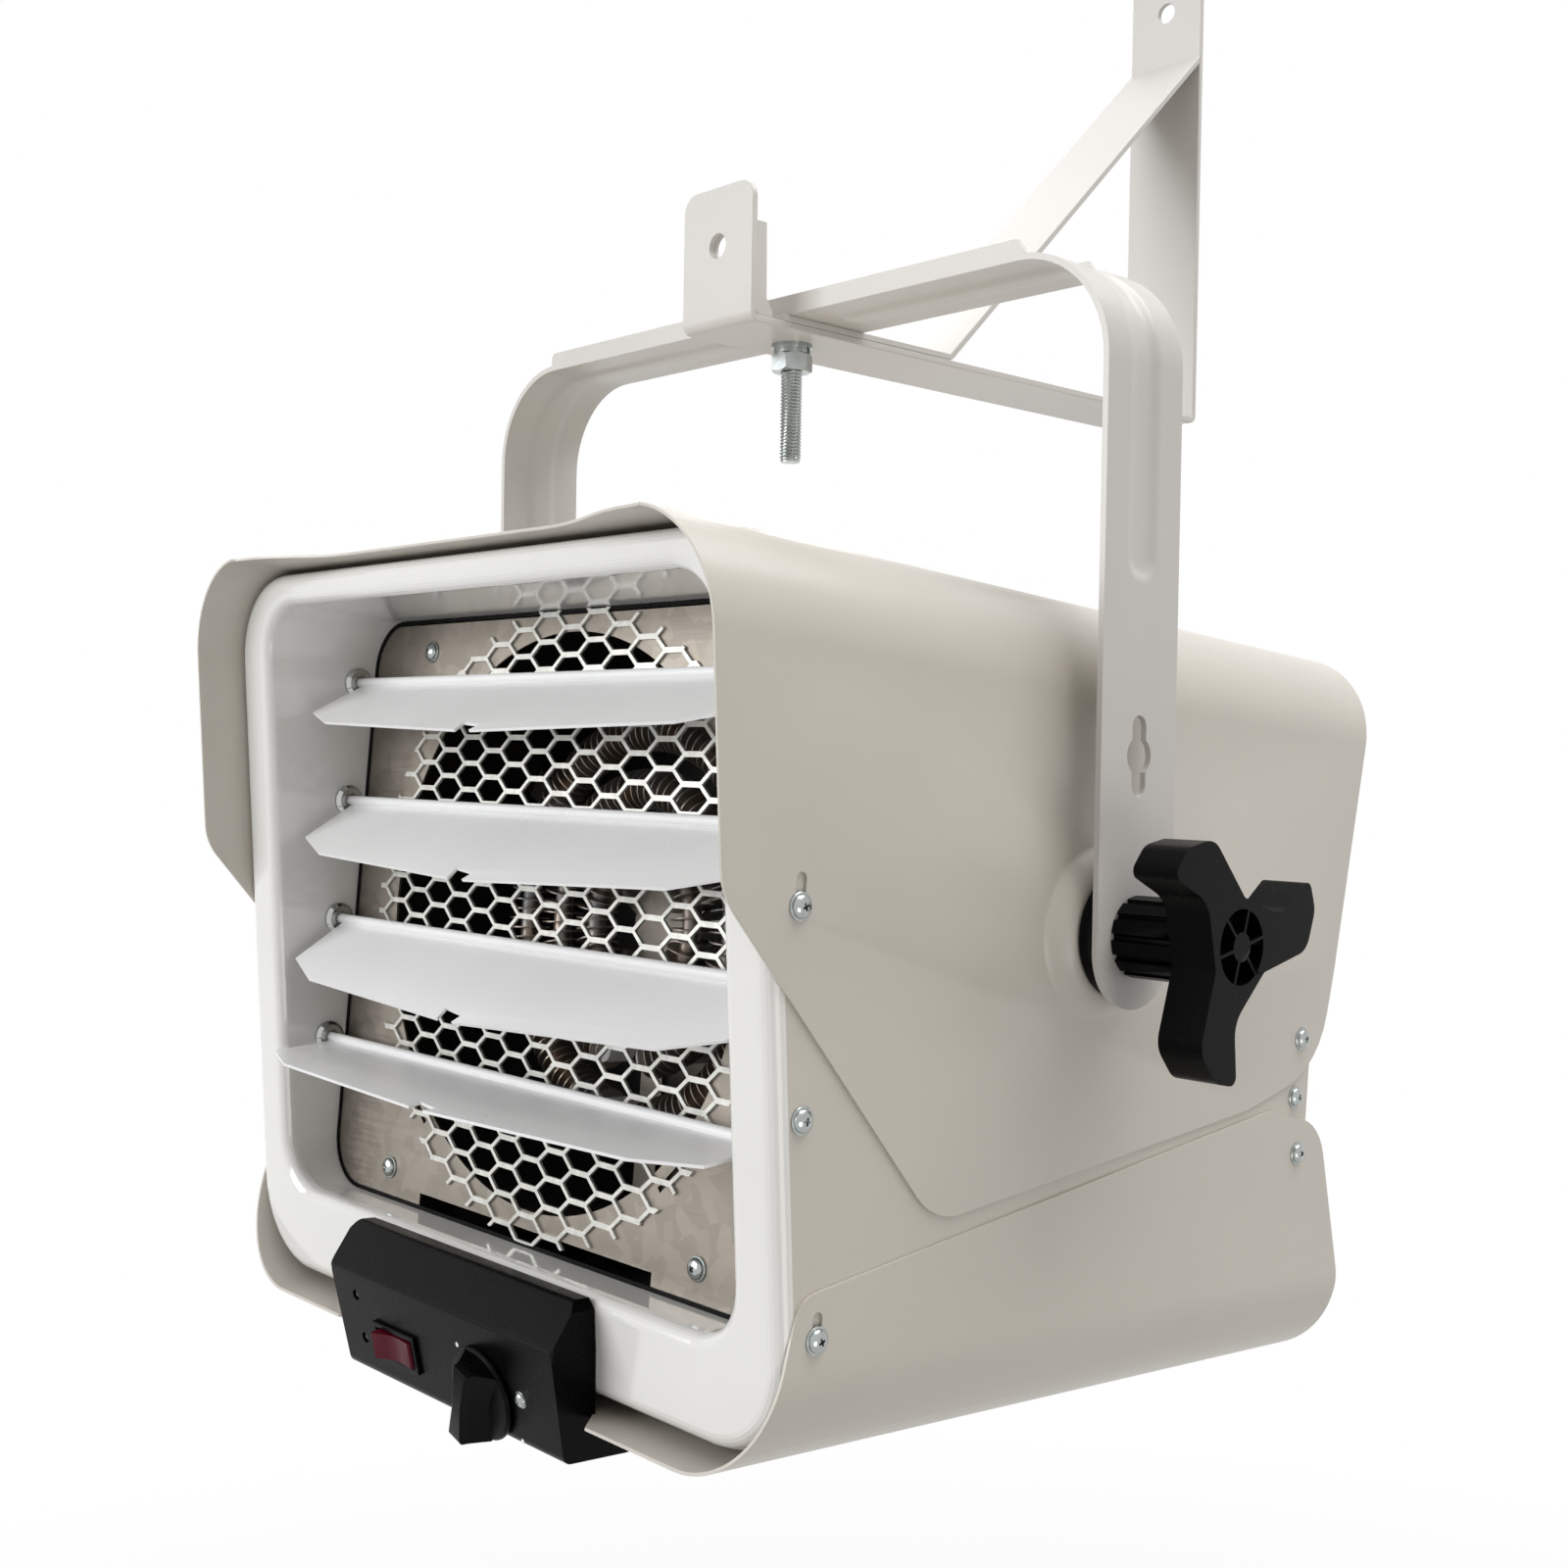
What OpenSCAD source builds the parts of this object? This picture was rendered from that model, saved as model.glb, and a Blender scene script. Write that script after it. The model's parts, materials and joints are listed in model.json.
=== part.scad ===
// Ceiling mounted fan heater: a louvred heater body hung in a swivelling yoke
// under a bent strip bracket.  Millimetres, +Z up, the outlet faces -Y and +X
// is on the heater's own left, the side that the photograph shows.
// The row's origin is the wall strip's hole, at the strip's rear face.

/* [Pose] */
// Tilt of the heater about its side pivots, nose up is negative
body_tilt = -4.5; // [-30:0.5:30]
// Slope of each louvre below the level, top louvre first
louvre_slopes = [31, 36, 37, 9]; // [0:1:60]

/* [Heater body] */
// Half of the hood's outside width
hood_half = 178; // [150:1:220]
// Height of the hood's top above the bezel's top edge
hood_over = 4.2; // [2.4:0.1:12]
// Depth of the lower hood's floor below the bezel's lower edge
hood_under = 6.5; // [2.5:0.1:15]
// Outside radius of the hoods' long corners
hood_r = 42; // [20:1:60]
// Thickness of the hood and case sheet
sheet = 1.2; // [0.8:0.1:2]
// Rake of the front face and of the hood's rear edge
front_rake = 7.9; // [0:0.1:15]
// Distance of the bezel's front from the pivot, at pivot height
front_y = 172.4; // [140:0.1:200]
// Distance of the case's flat rear from the pivot
rear_y = 160; // [120:1:200]

/* [Bezel and louvres] */
// Width of the bezel's border at each side of the outlet
border_side = 25; // [18:0.5:40]
// Width of the bezel's border over the outlet
border_over = 13.8; // [12:0.1:30]
// Width of the bezel's border under the outlet
border_under = 37.5; // [20:0.5:50]
// Height of the outlet's top edge above the duct
outlet_over = 8; // [4:0.5:20]
// Depth of the outlet's lower edge below the duct
outlet_under = 15; // [10:0.5:30]
// Corner radius of the outlet
outlet_r = 22; // [5:1:40]
// Distance of the inner panel from the pivot
panel_y = 128; // [100:1:150]
// Height of the top louvre's pin above the pivot
louvre_z = 85.6; // [60:0.1:100]
// Spacing of the louvres
louvre_pitch = 54.7; // [40:0.1:70]
// Distance of the louvre pins from the pivot
louvre_y = 137; // [130:0.5:150]
// Chord of a louvre at its middle
louvre_chord = 48; // [30:1:60]
// Radius of the louvre's rolled rear edge and pins
louvre_pin_r = 2.2; // [1.5:0.1:4]

/* [Guard] */
// Distance between neighbouring columns of cells
cell_x = 16.5; // [10:0.1:24]
// Distance between neighbouring cells of a column
cell_z = 11.4; // [8:0.1:18]
// Half length of a cell's flat top
cell_flat = 5; // [3:0.1:8]
// Thickness of the level webs
web_level = 2.2; // [1:0.1:4]
// Thickness of the slanting webs
web_slant = 1.6; // [1:0.1:4]
// Lap of the guard's cut rim over the duct
guard_lap = 13; // [6:0.5:20]
// Radius of the hole behind the guard
duct_r = 118; // [90:1:130]
// Height of the guard's centre relative to the pivot
guard_z = -12.5; // [-30:0.5:10]

/* [Heating elements] */
// Radii of the three nested element rings
ring_radii = [82, 57, 32]; // [15:1:100]
// Number of fins on each ring
ring_fins = [56, 38, 19]; // [8:1:90]
// Radius of a fin
fin_r = 9; // [6:0.5:12]
// Radius of the element's tube
tube_r = 4; // [2:0.5:6]
// Radius of the element's leads
lead_r = 3; // [1:0.5:4]

/* [Fan] */
// Number of fan blades
blade_count = 5; // [3:1:9]
// Gap between the blade tips and the duct
tip_gap = 10; // [3:0.5:20]
// Pitch of the blades
blade_pitch = 28; // [10:1:45]

/* [Controls] */
// Half width of the control box
box_half = 78; // [70:1:120]
// Radius of the indicator lamps
lamp_r = 2.3; // [1.5:0.1:4]
// Lean of the rocker to its pressed side
rocker_lean = 7; // [3:0.5:12]

/* [Yoke] */
// Room between the hood's side and the yoke's leg
yoke_room = 14.5; // [12:0.5:40]
// Width of the yoke's strip
yoke_w = 46.5; // [30:0.5:60]
// Thickness of the yoke's strip
yoke_t = 2.5; // [2:0.1:4]
// Underside of the yoke's top bar above the pivot
yoke_under = 257.5; // [230:0.5:300]
// Outside radius of the yoke's bends
yoke_r = 45; // [20:1:70]
// Radius of the pivot studs
stud_r = 5; // [3:0.1:8]
// Radial clearance of the turning fits
fit = 0.06; // [0.02:0.01:0.1]
// Tip radius of the three-lobed clamp knobs
knob_r = 50; // [40:1:60]
// Distance of a lobe's straight flank from the knob's middle
lobe_flank = 13; // [11:0.5:16]
// Turn of the clamp knobs
lobe_turn = 12.5; // [0:0.5:120]

/* [Bracket] */
// Width of the bracket's strip
strip_w = 45.5; // [30:0.5:60]
// Thickness of the bracket's strip
strip_t = 3; // [2:0.1:5]
// Distance of the wall strip's front face behind the pivot
strip_y = 279.5; // [250:0.5:350]
// Distance of the front tab's face ahead of the pivot
tab_y = 45.6; // [30:0.1:80]
// Height of the wall strip's hole above the pivot
hole_z = 480.5; // [400:0.5:550]
// Radius of the mounting holes
hole_r = 5.3; // [3:0.1:8]
// Radius of the swivel bolt
bolt_r = 5; // [4:0.1:8]
// Height of the swivel bolt's lower end above the pivot
bolt_end = 198.5; // [180:0.5:230]

/* [Hidden] */
$fn = 64;
eps = 0.01;
case_half = hood_half - sheet;
case_r = hood_r - 4;
rim_depth = 6.7;
outlet_half = hood_half - border_side;
outlet_top = guard_z + duct_r + outlet_over;
outlet_floor = duct_r - guard_z + outlet_under;
bezel_top = outlet_top + border_over;
bezel_floor = outlet_floor + border_under;
hood_top = bezel_top + hood_over;
hood_floor = bezel_floor + hood_under;
guard_r = duct_r + guard_lap;
fan_r = duct_r - tip_gap;
rear_hole_r = duct_r + 8;
yoke_half = hood_half + yoke_room + yoke_t;
rake_slope = tan(front_rake);
rake_long = 1 / cos(front_rake);
arm_z = yoke_under - 2 * strip_t;
foot_z = arm_z + strip_t;
yoke_top = yoke_under + yoke_t;
tab_bend_r = 1.5;
dome_h = 8;
dome_r = 34;
leg_in = yoke_half - yoke_t;
panel_t = 1;
guard_t = 1.2;
funnel_t = 1.6;
funnel_gap = 0.35;
lip_depth = 7;
// the raked lip rises by this much on its way to the funnel
lip_shift = lip_depth * sin(front_rake);
pivot_round_z = -4.5;

// ---- outlines and sweeps ----

function unit(v) = v / norm(v);
function xy(p) = [p[0], p[1]];
// A polygon moved inwards by d, its points given in order round it
function inset(p, d) =
  let (n = len(p), twice = [for (i = [0:n - 1]) cross(xy(p[i]), xy(p[(i + 1) % n]))],
       s = twice * [for (t = twice) 1] > 0 ? 1 : -1)
  [for (i = [0:n - 1])
    let (a = unit(xy(p[i]) - xy(p[(i + n - 1) % n])), b = unit(xy(p[(i + 1) % n]) - xy(p[i])),
         na = s * [-a[1], a[0]], nb = s * [-b[1], b[0]])
    xy(p[i]) + d * (na + nb) / (1 + na * nb)];
// The points of one corner p1, rounded to radius r between p0 and p2
function corner(p0, p1, p2, r, n) =
  r <= 0 ? [p1] :
  let (a = unit(p0 - p1), b = unit(p2 - p1), half = acos(a * b) / 2,
       c = p1 + unit(a + b) * r / sin(half),
       s = p1 + a * r / tan(half) - c, e = p1 + b * r / tan(half) - c,
       a0 = atan2(s[1], s[0]), turn = (atan2(e[1], e[0]) - a0 + 540) % 360 - 180)
  [for (i = [0:n]) c + r * [cos(a0 + turn * i / n), sin(a0 + turn * i / n)]];
// An outline given as [x, y, corner radius]
function rounded(p, n = 6) =
  [for (i = [0:len(p) - 1])
    each corner(xy(p[(i + len(p) - 1) % len(p)]), xy(p[i]), xy(p[(i + 1) % len(p)]), p[i][2], n)];

module world() {
  translate([0, -(strip_y + strip_t), -hole_z]) children();
}
// The heater's own frame, tilted about the pivot line
module heater() {
  world() rotate([body_tilt, 0, 0]) children();
}
// A 2-D outline in X and Z, drawn out from y0 to y1
module along_y(y0, y1) {
  translate([0, y1, 0]) rotate([90, 0, 0]) linear_extrude(y1 - y0) children();
}
// A 2-D outline in Y and Z, drawn out from x0 to x1
module along_x(x0, x1) {
  translate([x0, 0, 0]) rotate([90, 0, 90]) linear_extrude(x1 - x0) children();
}
// A cylinder along Y or X, from one place to another
module rod_y(y0, y1, r) {
  translate([0, y0, 0]) rotate([-90, 0, 0]) cylinder(h = y1 - y0, r = r);
}
module rod_x(x0, x1, r) {
  translate([x0, 0, 0]) rotate([0, 90, 0]) cylinder(h = x1 - x0, r = r);
}
// A profile of [radius, x] turned about the X axis
module turned_x() {
  rotate([0, 90, 0]) rotate_extrude() children();
}
module turned_y() {
  rotate([-90, 0, 0]) rotate_extrude() children();
}
module both_sides() {
  children();
  mirror([1, 0, 0]) children();
}
// A rounded rectangle in X and Z made of true arcs
module pane(half, bottom, top, r) {
  translate([-half, bottom + r]) square([2 * half, top - bottom - 2 * r]);
  translate([-half + r, bottom]) square([2 * half - 2 * r, top - bottom]);
  for (x = [-half + r, half - r])
    for (z = [bottom + r, top - r])
      translate([x, z]) circle(r);
}
module ring_2d(r_out, r_in) {
  difference() {
    circle(r_out);
    circle(r_in);
  }
}
// Everything behind the raked plane whose face lies at y0 at pivot height
module behind_rake(y0) {
  translate([0, y0, 0]) rotate([front_rake, 0, 0]) translate([-400, 0, -400]) cube([800, 900, 800]);
}
// The raked plane of the front as a frame of its own
module on_front() {
  translate([0, -front_y, 0]) rotate([front_rake, 0, 0]) children();
}

// ---- bracket ----

bracket_grey = [0.83, 0.82, 0.78];
zinc = [0.72, 0.75, 0.78];
black = [0.05, 0.05, 0.05];
bezel_white = [0.9, 0.9, 0.9];
steel = [0.62, 0.6, 0.57];

module ceiling_bracket() color(bracket_grey) world() {
  tab_top = hole_z - 168;
  strip_top = hole_z + 20;
  path = [[-tab_y, tab_top, 0], [-tab_y, arm_z, tab_bend_r + strip_t], [strip_y + strip_t, arm_z, 4.5],
    [strip_y + strip_t, strip_top, 0], [strip_y, strip_top, 0], [strip_y, foot_z, 1.5],
    [-tab_y + strip_t, foot_z, tab_bend_r], [-tab_y + strip_t, tab_top, 0]];
  difference() {
    intersection() {
      along_x(-strip_w / 2, strip_w / 2) polygon(rounded(path, 5));
      union() {
        along_y(-80, 0) pane(strip_w / 2 + eps, arm_z - 10, tab_top, 8);
        along_y(0, strip_y + 20) pane(strip_w / 2 + eps, arm_z - 10, strip_top, 5);
      }
    }
    translate([0, 0, hole_z - 193.5]) rod_y(-60, 0, hole_r);
    translate([0, 0, hole_z]) rod_y(strip_y - 10, strip_y + 20, hole_r);
    cylinder(h = 300, r = bolt_r + 0.3);
  }
}

module bracket_brace() color(bracket_grey) world() {
  knee = 83;
  rise = (strip_y - knee) * 0.98;
  slant = strip_t * norm([1, 0.98]);
  inner_knee = knee - (slant - strip_t) / 0.98;
  path = [[-26, foot_z, 0], [knee, foot_z, 5], [strip_y, foot_z + rise, 0],
    [strip_y, foot_z + rise + slant, 0], [inner_knee, foot_z + strip_t, 2], [-26, foot_z + strip_t, 0]];
  difference() {
    along_x(-strip_w / 2, strip_w / 2) polygon(rounded(path, 5));
    cylinder(h = 300, r = bolt_r + 0.3);
  }
}

module tab_stiffener() color(bracket_grey) world() {
  t = 2.5;
  back = -tab_y + strip_t;
  half = strip_w / 2 - 0.5;
  top = foot_z + 40.5;
  foot = 10.2;
  // clears the round inside of the bracket's bend
  ease = tab_bend_r + 0.4;
  difference() {
    union() {
      along_x(-half, half)
        polygon([[back, top], [back, foot_z + ease], [back + ease, foot_z], [back + foot, foot_z],
          [back + foot, foot_z + t], [back + t, foot_z + t], [back + t, top]]);
      both_sides() along_x(half - t, half)
        polygon([[back, top], [back, foot_z + ease], [back + ease, foot_z], [back + foot, foot_z],
          [back + foot, foot_z + t], [back + 6.6, foot_z + 8], [back + 6, top]]);
    }
    translate([0, 0, hole_z - 193.5]) rod_y(-60, 0, hole_r);
  }
}

// ---- swivel ----

module hexagon(flats) {
  circle(r = flats / sqrt(3), $fn = 6);
}
module swivel_bolt() color(zinc) world() {
  translate([0, 0, yoke_top]) intersection() {
    linear_extrude(6.4) hexagon(17);
    rotate_extrude() polygon([[0, 0], [9.9, 0], [9.9, 5], [8.4, 6.4], [0, 6.4]]);
  }
  translate([0, 0, bolt_end]) rotate_extrude()
    polygon([[0, 0], [bolt_r - 1.2, 0], [bolt_r, 1.2], [bolt_r, yoke_top - bolt_end + eps],
      [0, yoke_top - bolt_end + eps]]);
}
module swivel_flat_washer() color(zinc) world() {
  translate([0, 0, arm_z - 1.8]) linear_extrude(1.8) ring_2d(9.2, bolt_r + 0.3);
}
module swivel_spring_washer() color(zinc) world() {
  translate([0, 0, arm_z - 4.3]) difference() {
    linear_extrude(2.5) ring_2d(8.4, bolt_r + 0.3);
    rotate([0, 0, 20]) translate([0, -0.6, -1]) rotate([12, 0, 0]) cube([12, 1.2, 6]);
  }
}
module swivel_nut() color(zinc) world() {
  high = 8.2;
  translate([0, 0, arm_z - 4.3 - high]) difference() {
    intersection() {
      linear_extrude(high) hexagon(16.5);
      rotate_extrude() polygon([[0, 0], [8.2, 0], [9.6, 1], [9.6, high - 1], [8.2, high], [0, high]]);
    }
    translate([0, 0, -1]) cylinder(h = high + 2, r = bolt_r + 0.02);
  }
}

// ---- yoke ----

// The yoke's shape seen from the front, shrunk by d
module arch(d) {
  half = yoke_half - d;
  top = yoke_top - d;
  r = yoke_r - d;
  translate([-half, -60]) square([2 * half, top - r + 60]);
  translate([-half + r, 0]) square([2 * half - 2 * r, top]);
  for (x = [-half + r, half - r])
    translate([x, top - r]) circle(r);
}
// The stretch of the yoke that carries its pressed groove, widened by w
module groove_zone(w) {
  groove_r = 6 + w;
  groove_end = 142.5;
  difference() {
    along_x(-yoke_half - 5, yoke_half + 5) {
      translate([-groove_r, groove_end]) square([2 * groove_r, 200]);
      translate([0, groove_end]) circle(groove_r);
    }
    translate([-42, -50, 200]) cube([84, 100, 100]);
  }
}
module yoke() color(bracket_grey) world() difference() {
  union() {
    intersection() {
      along_y(-yoke_w / 2, yoke_w / 2) difference() {
        arch(0);
        arch(yoke_t);
      }
      along_x(-yoke_half - 5, yoke_half + 5) {
        translate([-yoke_w / 2, pivot_round_z]) square([yoke_w, 300]);
        translate([0, pivot_round_z]) circle(yoke_w / 2);
      }
    }
    intersection() {
      along_y(-10, 10) difference() {
        arch(yoke_t - eps);
        arch(yoke_t + 0.9);
      }
      groove_zone(0.8);
    }
    // upstanding edges of the top bar
    for (y = [-yoke_w / 2, yoke_w / 2 - yoke_t])
      along_y(y, y + yoke_t)
        polygon([[-152, yoke_top - 1], [149, yoke_top - 1], [154, yoke_top], [150, yoke_top + 6],
          [-150, yoke_top + 6], [-152, yoke_top + 4]]);
  }
  intersection() {
    along_y(-10, 10) difference() {
      arch(-1);
      arch(0.9);
    }
    groove_zone(0);
  }
  cylinder(h = 300, r = bolt_r + fit);
  rod_x(-yoke_half - 5, yoke_half + 5, stud_r + fit);
  // keyhole for hanging and locking
  along_x(-yoke_half - 5, yoke_half + 5) translate([0, 68]) {
    circle(7.4);
    translate([-4.3, -11]) square([8.6, 22]);
    for (z = [-11, 11])
      translate([0, z]) circle(4.3);
  }
}

// A three-lobed clamp knob on the +X side.  Each lobe has a straight flank and
// a hollow one that ends in a hook for the fingers
module clamp_knob() {
  inner = yoke_half + 0.3;
  face = yoke_half + 46.6;
  lobe_back = yoke_half + 28;
  collar_r = 13.6;
  ribs = 12;
  pocket_r = 13.8;
  root = [5.1, lobe_flank + 4.15, 3];
  lobe = [[knob_r - 8.5, -lobe_flank, 9], [knob_r, 0.5, 9], [knob_r - 1.6, 13.4, 3.2],
    [knob_r * 0.54, 4.5, 12], root];
  outline = [for (a = [0, 120, 240]) each
    [for (p = lobe) [p[0] * cos(a) - p[1] * sin(a), p[0] * sin(a) + p[1] * cos(a), p[2]]]];
  rotate([lobe_turn, 0, 0]) difference() {
    union() {
      // ribbed collar
      rod_x(inner, lobe_back + 2, collar_r);
      for (i = [0:ribs - 1])
        rotate([i * 360 / ribs, 0, 0])
          translate([inner, -2.6, collar_r - 1.5]) cube([lobe_back - inner - 1, 5.2, 3.2]);
      along_x(lobe_back, face) polygon(rounded(outline, 5));
    }
    // pockets between the hub's six spokes
    difference() {
      turned_x() polygon([[5.4, face - 5], [pocket_r, face - 5], [pocket_r, face + 1], [5.4, face + 1]]);
      for (i = [0:2])
        rotate([30 + i * 60, 0, 0]) translate([face - 6, -0.6, -15]) cube([8, 1.2, 30]);
    }
    rod_x(inner - 1, yoke_half + 38, stud_r + fit);
  }
}
module knob_right() color(black) world() clamp_knob();
// the same moulding, turned round rather than mirrored
module knob_left() color(black) world() rotate([0, 0, 180]) clamp_knob();

// ---- side pivots ----

module pivot_stud() {
  rod_x(case_half - sheet - 5, yoke_half + 36, stud_r);
  translate([case_half - sheet - 6, 0, 0]) rotate([90, 0, 90]) linear_extrude(6) hexagon(17);
}
module friction_disc() {
  disc_in = hood_half + dome_h;
  turned_x() polygon([[stud_r, disc_in], [22.8, disc_in], [24, disc_in + 1.2],
    [24, leg_in - 1.5], [22.8, leg_in - 0.3], [stud_r, leg_in - 0.3]]);
}
module pivot_stud_right() color(zinc) heater() pivot_stud();
module pivot_stud_left() color(zinc) heater() mirror([1, 0, 0]) pivot_stud();
module friction_disc_right() color(black) heater() friction_disc();
module friction_disc_left() color(black) heater() mirror([1, 0, 0]) friction_disc();

// ---- hoods and case ----

hood_screws = [[-159.6, 4.5], [150.5, -42.7]];
case_screws = [[-150.6, -65.5], [149.8, -68.2]];
floor_screws = [[-137.5, -138.2], [152.4, -92.7]];

// The pressed dome round the pivot, lowered by d
module dome(d) {
  rise = dome_h - d;
  turned_x() polygon([[0, hood_half - 3], [dome_r - d, hood_half - 3], [dome_r - d, hood_half - d],
    for (i = [1:6]) [dome_r - d - (dome_r - 23) * (1 - cos(i * 15)) * 0.5 - (dome_r - 23) * i / 12,
      hood_half - d + dome_h * (1 - cos(i * 30)) / 2],
    [0, hood_half + rise]]);
}
module sheet_holes(places, r) {
  for (p = places)
    both_sides() translate([0, p[0], p[1]]) rod_x(case_half - 8, hood_half + 5, r);
}

module top_hood() color(bracket_grey) heater() {
  side = [[-front_y - 20.3 - hood_top * rake_slope, hood_top + 1, 0], [-193.6, 7, 24], [-83, -104.5, 27],
    [112, -72.5, 60], [166, -56, 42], [174.5, -12, 60], [196, hood_top + 1, 0]];
  wing_y = -front_y - 20.3 - hood_top * rake_slope;
  difference() {
    union() {
      intersection() {
        along_y(-240, 240) difference() {
          pane(hood_half, -260, hood_top, hood_r);
          pane(case_half, -261, hood_top - sheet, hood_r - sheet);
        }
        along_x(-hood_half - 1, hood_half + 1) polygon(rounded(side, 6));
      }
      both_sides() difference() {
        dome(0);
        translate([hood_half - 10, -60, -60]) cube([10 - sheet, 120, 120]);
      }
    }
    // the top's front edge is set back between its wings
    translate([0, 0, hood_top - hood_r + 20]) linear_extrude(60)
      polygon([[-152, wing_y - 10], [-140, wing_y + 2], for (i = [0:8])
          [-134 + 64 * i / 8, wing_y + 3 + 12.5 * (1 - cos(i * 22.5)) / 2],
        for (i = [8:-1:0]) [134 - 64 * i / 8, wing_y + 3 + 12.5 * (1 - cos(i * 22.5)) / 2],
        [140, wing_y + 2], [152, wing_y - 10]]);
    // the pressing is hollow from behind
    both_sides() difference() {
      dome(sheet);
      translate([hood_half + 20, -60, -60]) cube([20, 120, 120]);
    }
    rod_x(-hood_half - 20, hood_half + 20, stud_r + 0.2);
    sheet_holes(hood_screws, 2.2);
    // keyhole slot over the front screw
    both_sides() along_x(case_half - 2, hood_half + 5) translate([hood_screws[0][0], hood_screws[0][1]]) {
      translate([-2.2, 0]) square([4.4, 9]);
      translate([0, 9]) circle(2.2);
    }
  }
}

module bottom_hood() color(bracket_grey) heater() {
  side = [[-159.5, -hood_floor - 1, 0], [-146.5, -123.8, 11], [130, -73.2, 26], [170.5, -81, 24],
    [193, -150, 40], [193.5, -hood_floor - 1, 0]];
  difference() {
    intersection() {
      along_y(-240, 240) difference() {
        pane(hood_half, -hood_floor, 260, hood_r);
        pane(case_half, -hood_floor + sheet, 261, hood_r - sheet);
      }
      along_x(-hood_half - 1, hood_half + 1) polygon(rounded(side, 6));
    }
    // room for the control box
    translate([0, 0, -hood_floor - 5]) linear_extrude(10)
      polygon([[-box_half - 10, -front_y - 2.6], [-box_half - 10, -front_y + 11.9],
        [-box_half + 8, -front_y + 31.4], [box_half - 8, -front_y + 31.4],
        [box_half + 10, -front_y + 11.9], [box_half + 10, -front_y - 2.6]]);
    sheet_holes(floor_screws, 2.2);
    both_sides() along_x(case_half - 2, hood_half + 5) translate([floor_screws[0][0], floor_screws[0][1]]) {
      translate([-2.2, 0]) square([4.4, 7]);
      translate([0, 7]) circle(2.2);
    }
  }
}

module case_shell() color(bracket_grey) heater() difference() {
  intersection() {
    along_y(-220, rear_y) difference() {
      pane(case_half, -bezel_floor, bezel_top, case_r);
      pane(case_half - sheet, -bezel_floor + sheet, bezel_top - sheet, case_r - sheet);
    }
    behind_rake(-front_y + rim_depth * rake_long);
  }
  rod_x(-hood_half, hood_half, stud_r + 0.2);
  sheet_holes(concat(hood_screws, case_screws, floor_screws), 1.8);
}

// ---- bezel ----

// A profile of [distance outside the outline, depth] swept round an outline
// with corner radius r, on the raked front
module rim(half, bottom, top, r) {
  for (sx = [-1, 1])
    for (sz = [-1, 1])
      translate([sx * (half - r), 0, sz > 0 ? top - r : bottom + r])
        rotate([0, sx > 0 ? (sz > 0 ? -90 : 0) : (sz > 0 ? 180 : 90), 0])
          rotate([-90, 0, 0]) rotate_extrude(angle = 90) translate([r, 0]) children();
  long_x = 2 * (half - r);
  long_z = top - bottom - 2 * r;
  translate([half - r, 0, top]) rotate([0, -90, 0]) linear_extrude(long_x) children();
  translate([-half + r, 0, bottom]) rotate([0, 90, 0]) linear_extrude(long_x) children();
  translate([half, 0, bottom + r]) linear_extrude(long_z) children();
  translate([-half, 0, top - r]) rotate([0, 180, 0]) linear_extrude(long_z) children();
}
function quarter(r, cx, cy, a0, a1) = [for (i = [0:6]) let (a = a0 + (a1 - a0) * i / 6) [cx + r * cos(a), cy + r * sin(a)]];

module front_bezel() color(bezel_white) heater() {
  lip_r = 6;
  in_r = 5;
  wall = 2;
  z1 = bezel_top * rake_long;
  z0 = -bezel_floor * rake_long;
  o1 = outlet_top * rake_long;
  o0 = -outlet_floor * rake_long;
  shift = lip_shift;
  difference() {
    union() {
    on_front() {
      // rolled outer edge
      rim(case_half, z0, z1, case_r)
        polygon(concat(quarter(lip_r, -lip_r, lip_r, -90, 0), [[0, rim_depth], [-wall, rim_depth]],
          quarter(lip_r - wall, -lip_r, lip_r, 0, -90)));
      // flat face
      along_y(0, wall) difference() {
        pane(case_half - lip_r, z0 + lip_r, z1 - lip_r, case_r - lip_r);
        pane(outlet_half + in_r, o0 - in_r, o1 + in_r, outlet_r + in_r);
      }
      // rolled inner edge and the funnel behind it
      rim(outlet_half, o0, o1, outlet_r)
        polygon(concat(quarter(in_r, in_r, in_r, -90, -180),
          [[0, lip_depth], [3.6, lip_depth], [3.6, in_r + 0.2], [funnel_t, in_r + 0.2]],
          quarter(in_r - funnel_t, in_r, in_r, -180, -90), [[in_r, 0]]));
    }
    // level funnel from the lip's rear face back to the inner panel
    intersection() {
      along_y(-200, -panel_y) difference() {
        pane(outlet_half + funnel_gap + funnel_t, -outlet_floor + shift - funnel_gap - funnel_t,
          outlet_top + shift + funnel_gap + funnel_t, outlet_r + funnel_gap + funnel_t);
        pane(outlet_half + funnel_gap, -outlet_floor + shift - funnel_gap, outlet_top + shift + funnel_gap,
          outlet_r + funnel_gap);
      }
      behind_rake(-front_y + lip_depth * rake_long);
    }
    }
    for (i = [0:3])
      translate([0, -louvre_y, louvre_z - i * louvre_pitch])
        rod_x(-outlet_half - 10, outlet_half + 10, louvre_pin_r + fit);
  }
}

// ---- louvres ----

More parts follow.
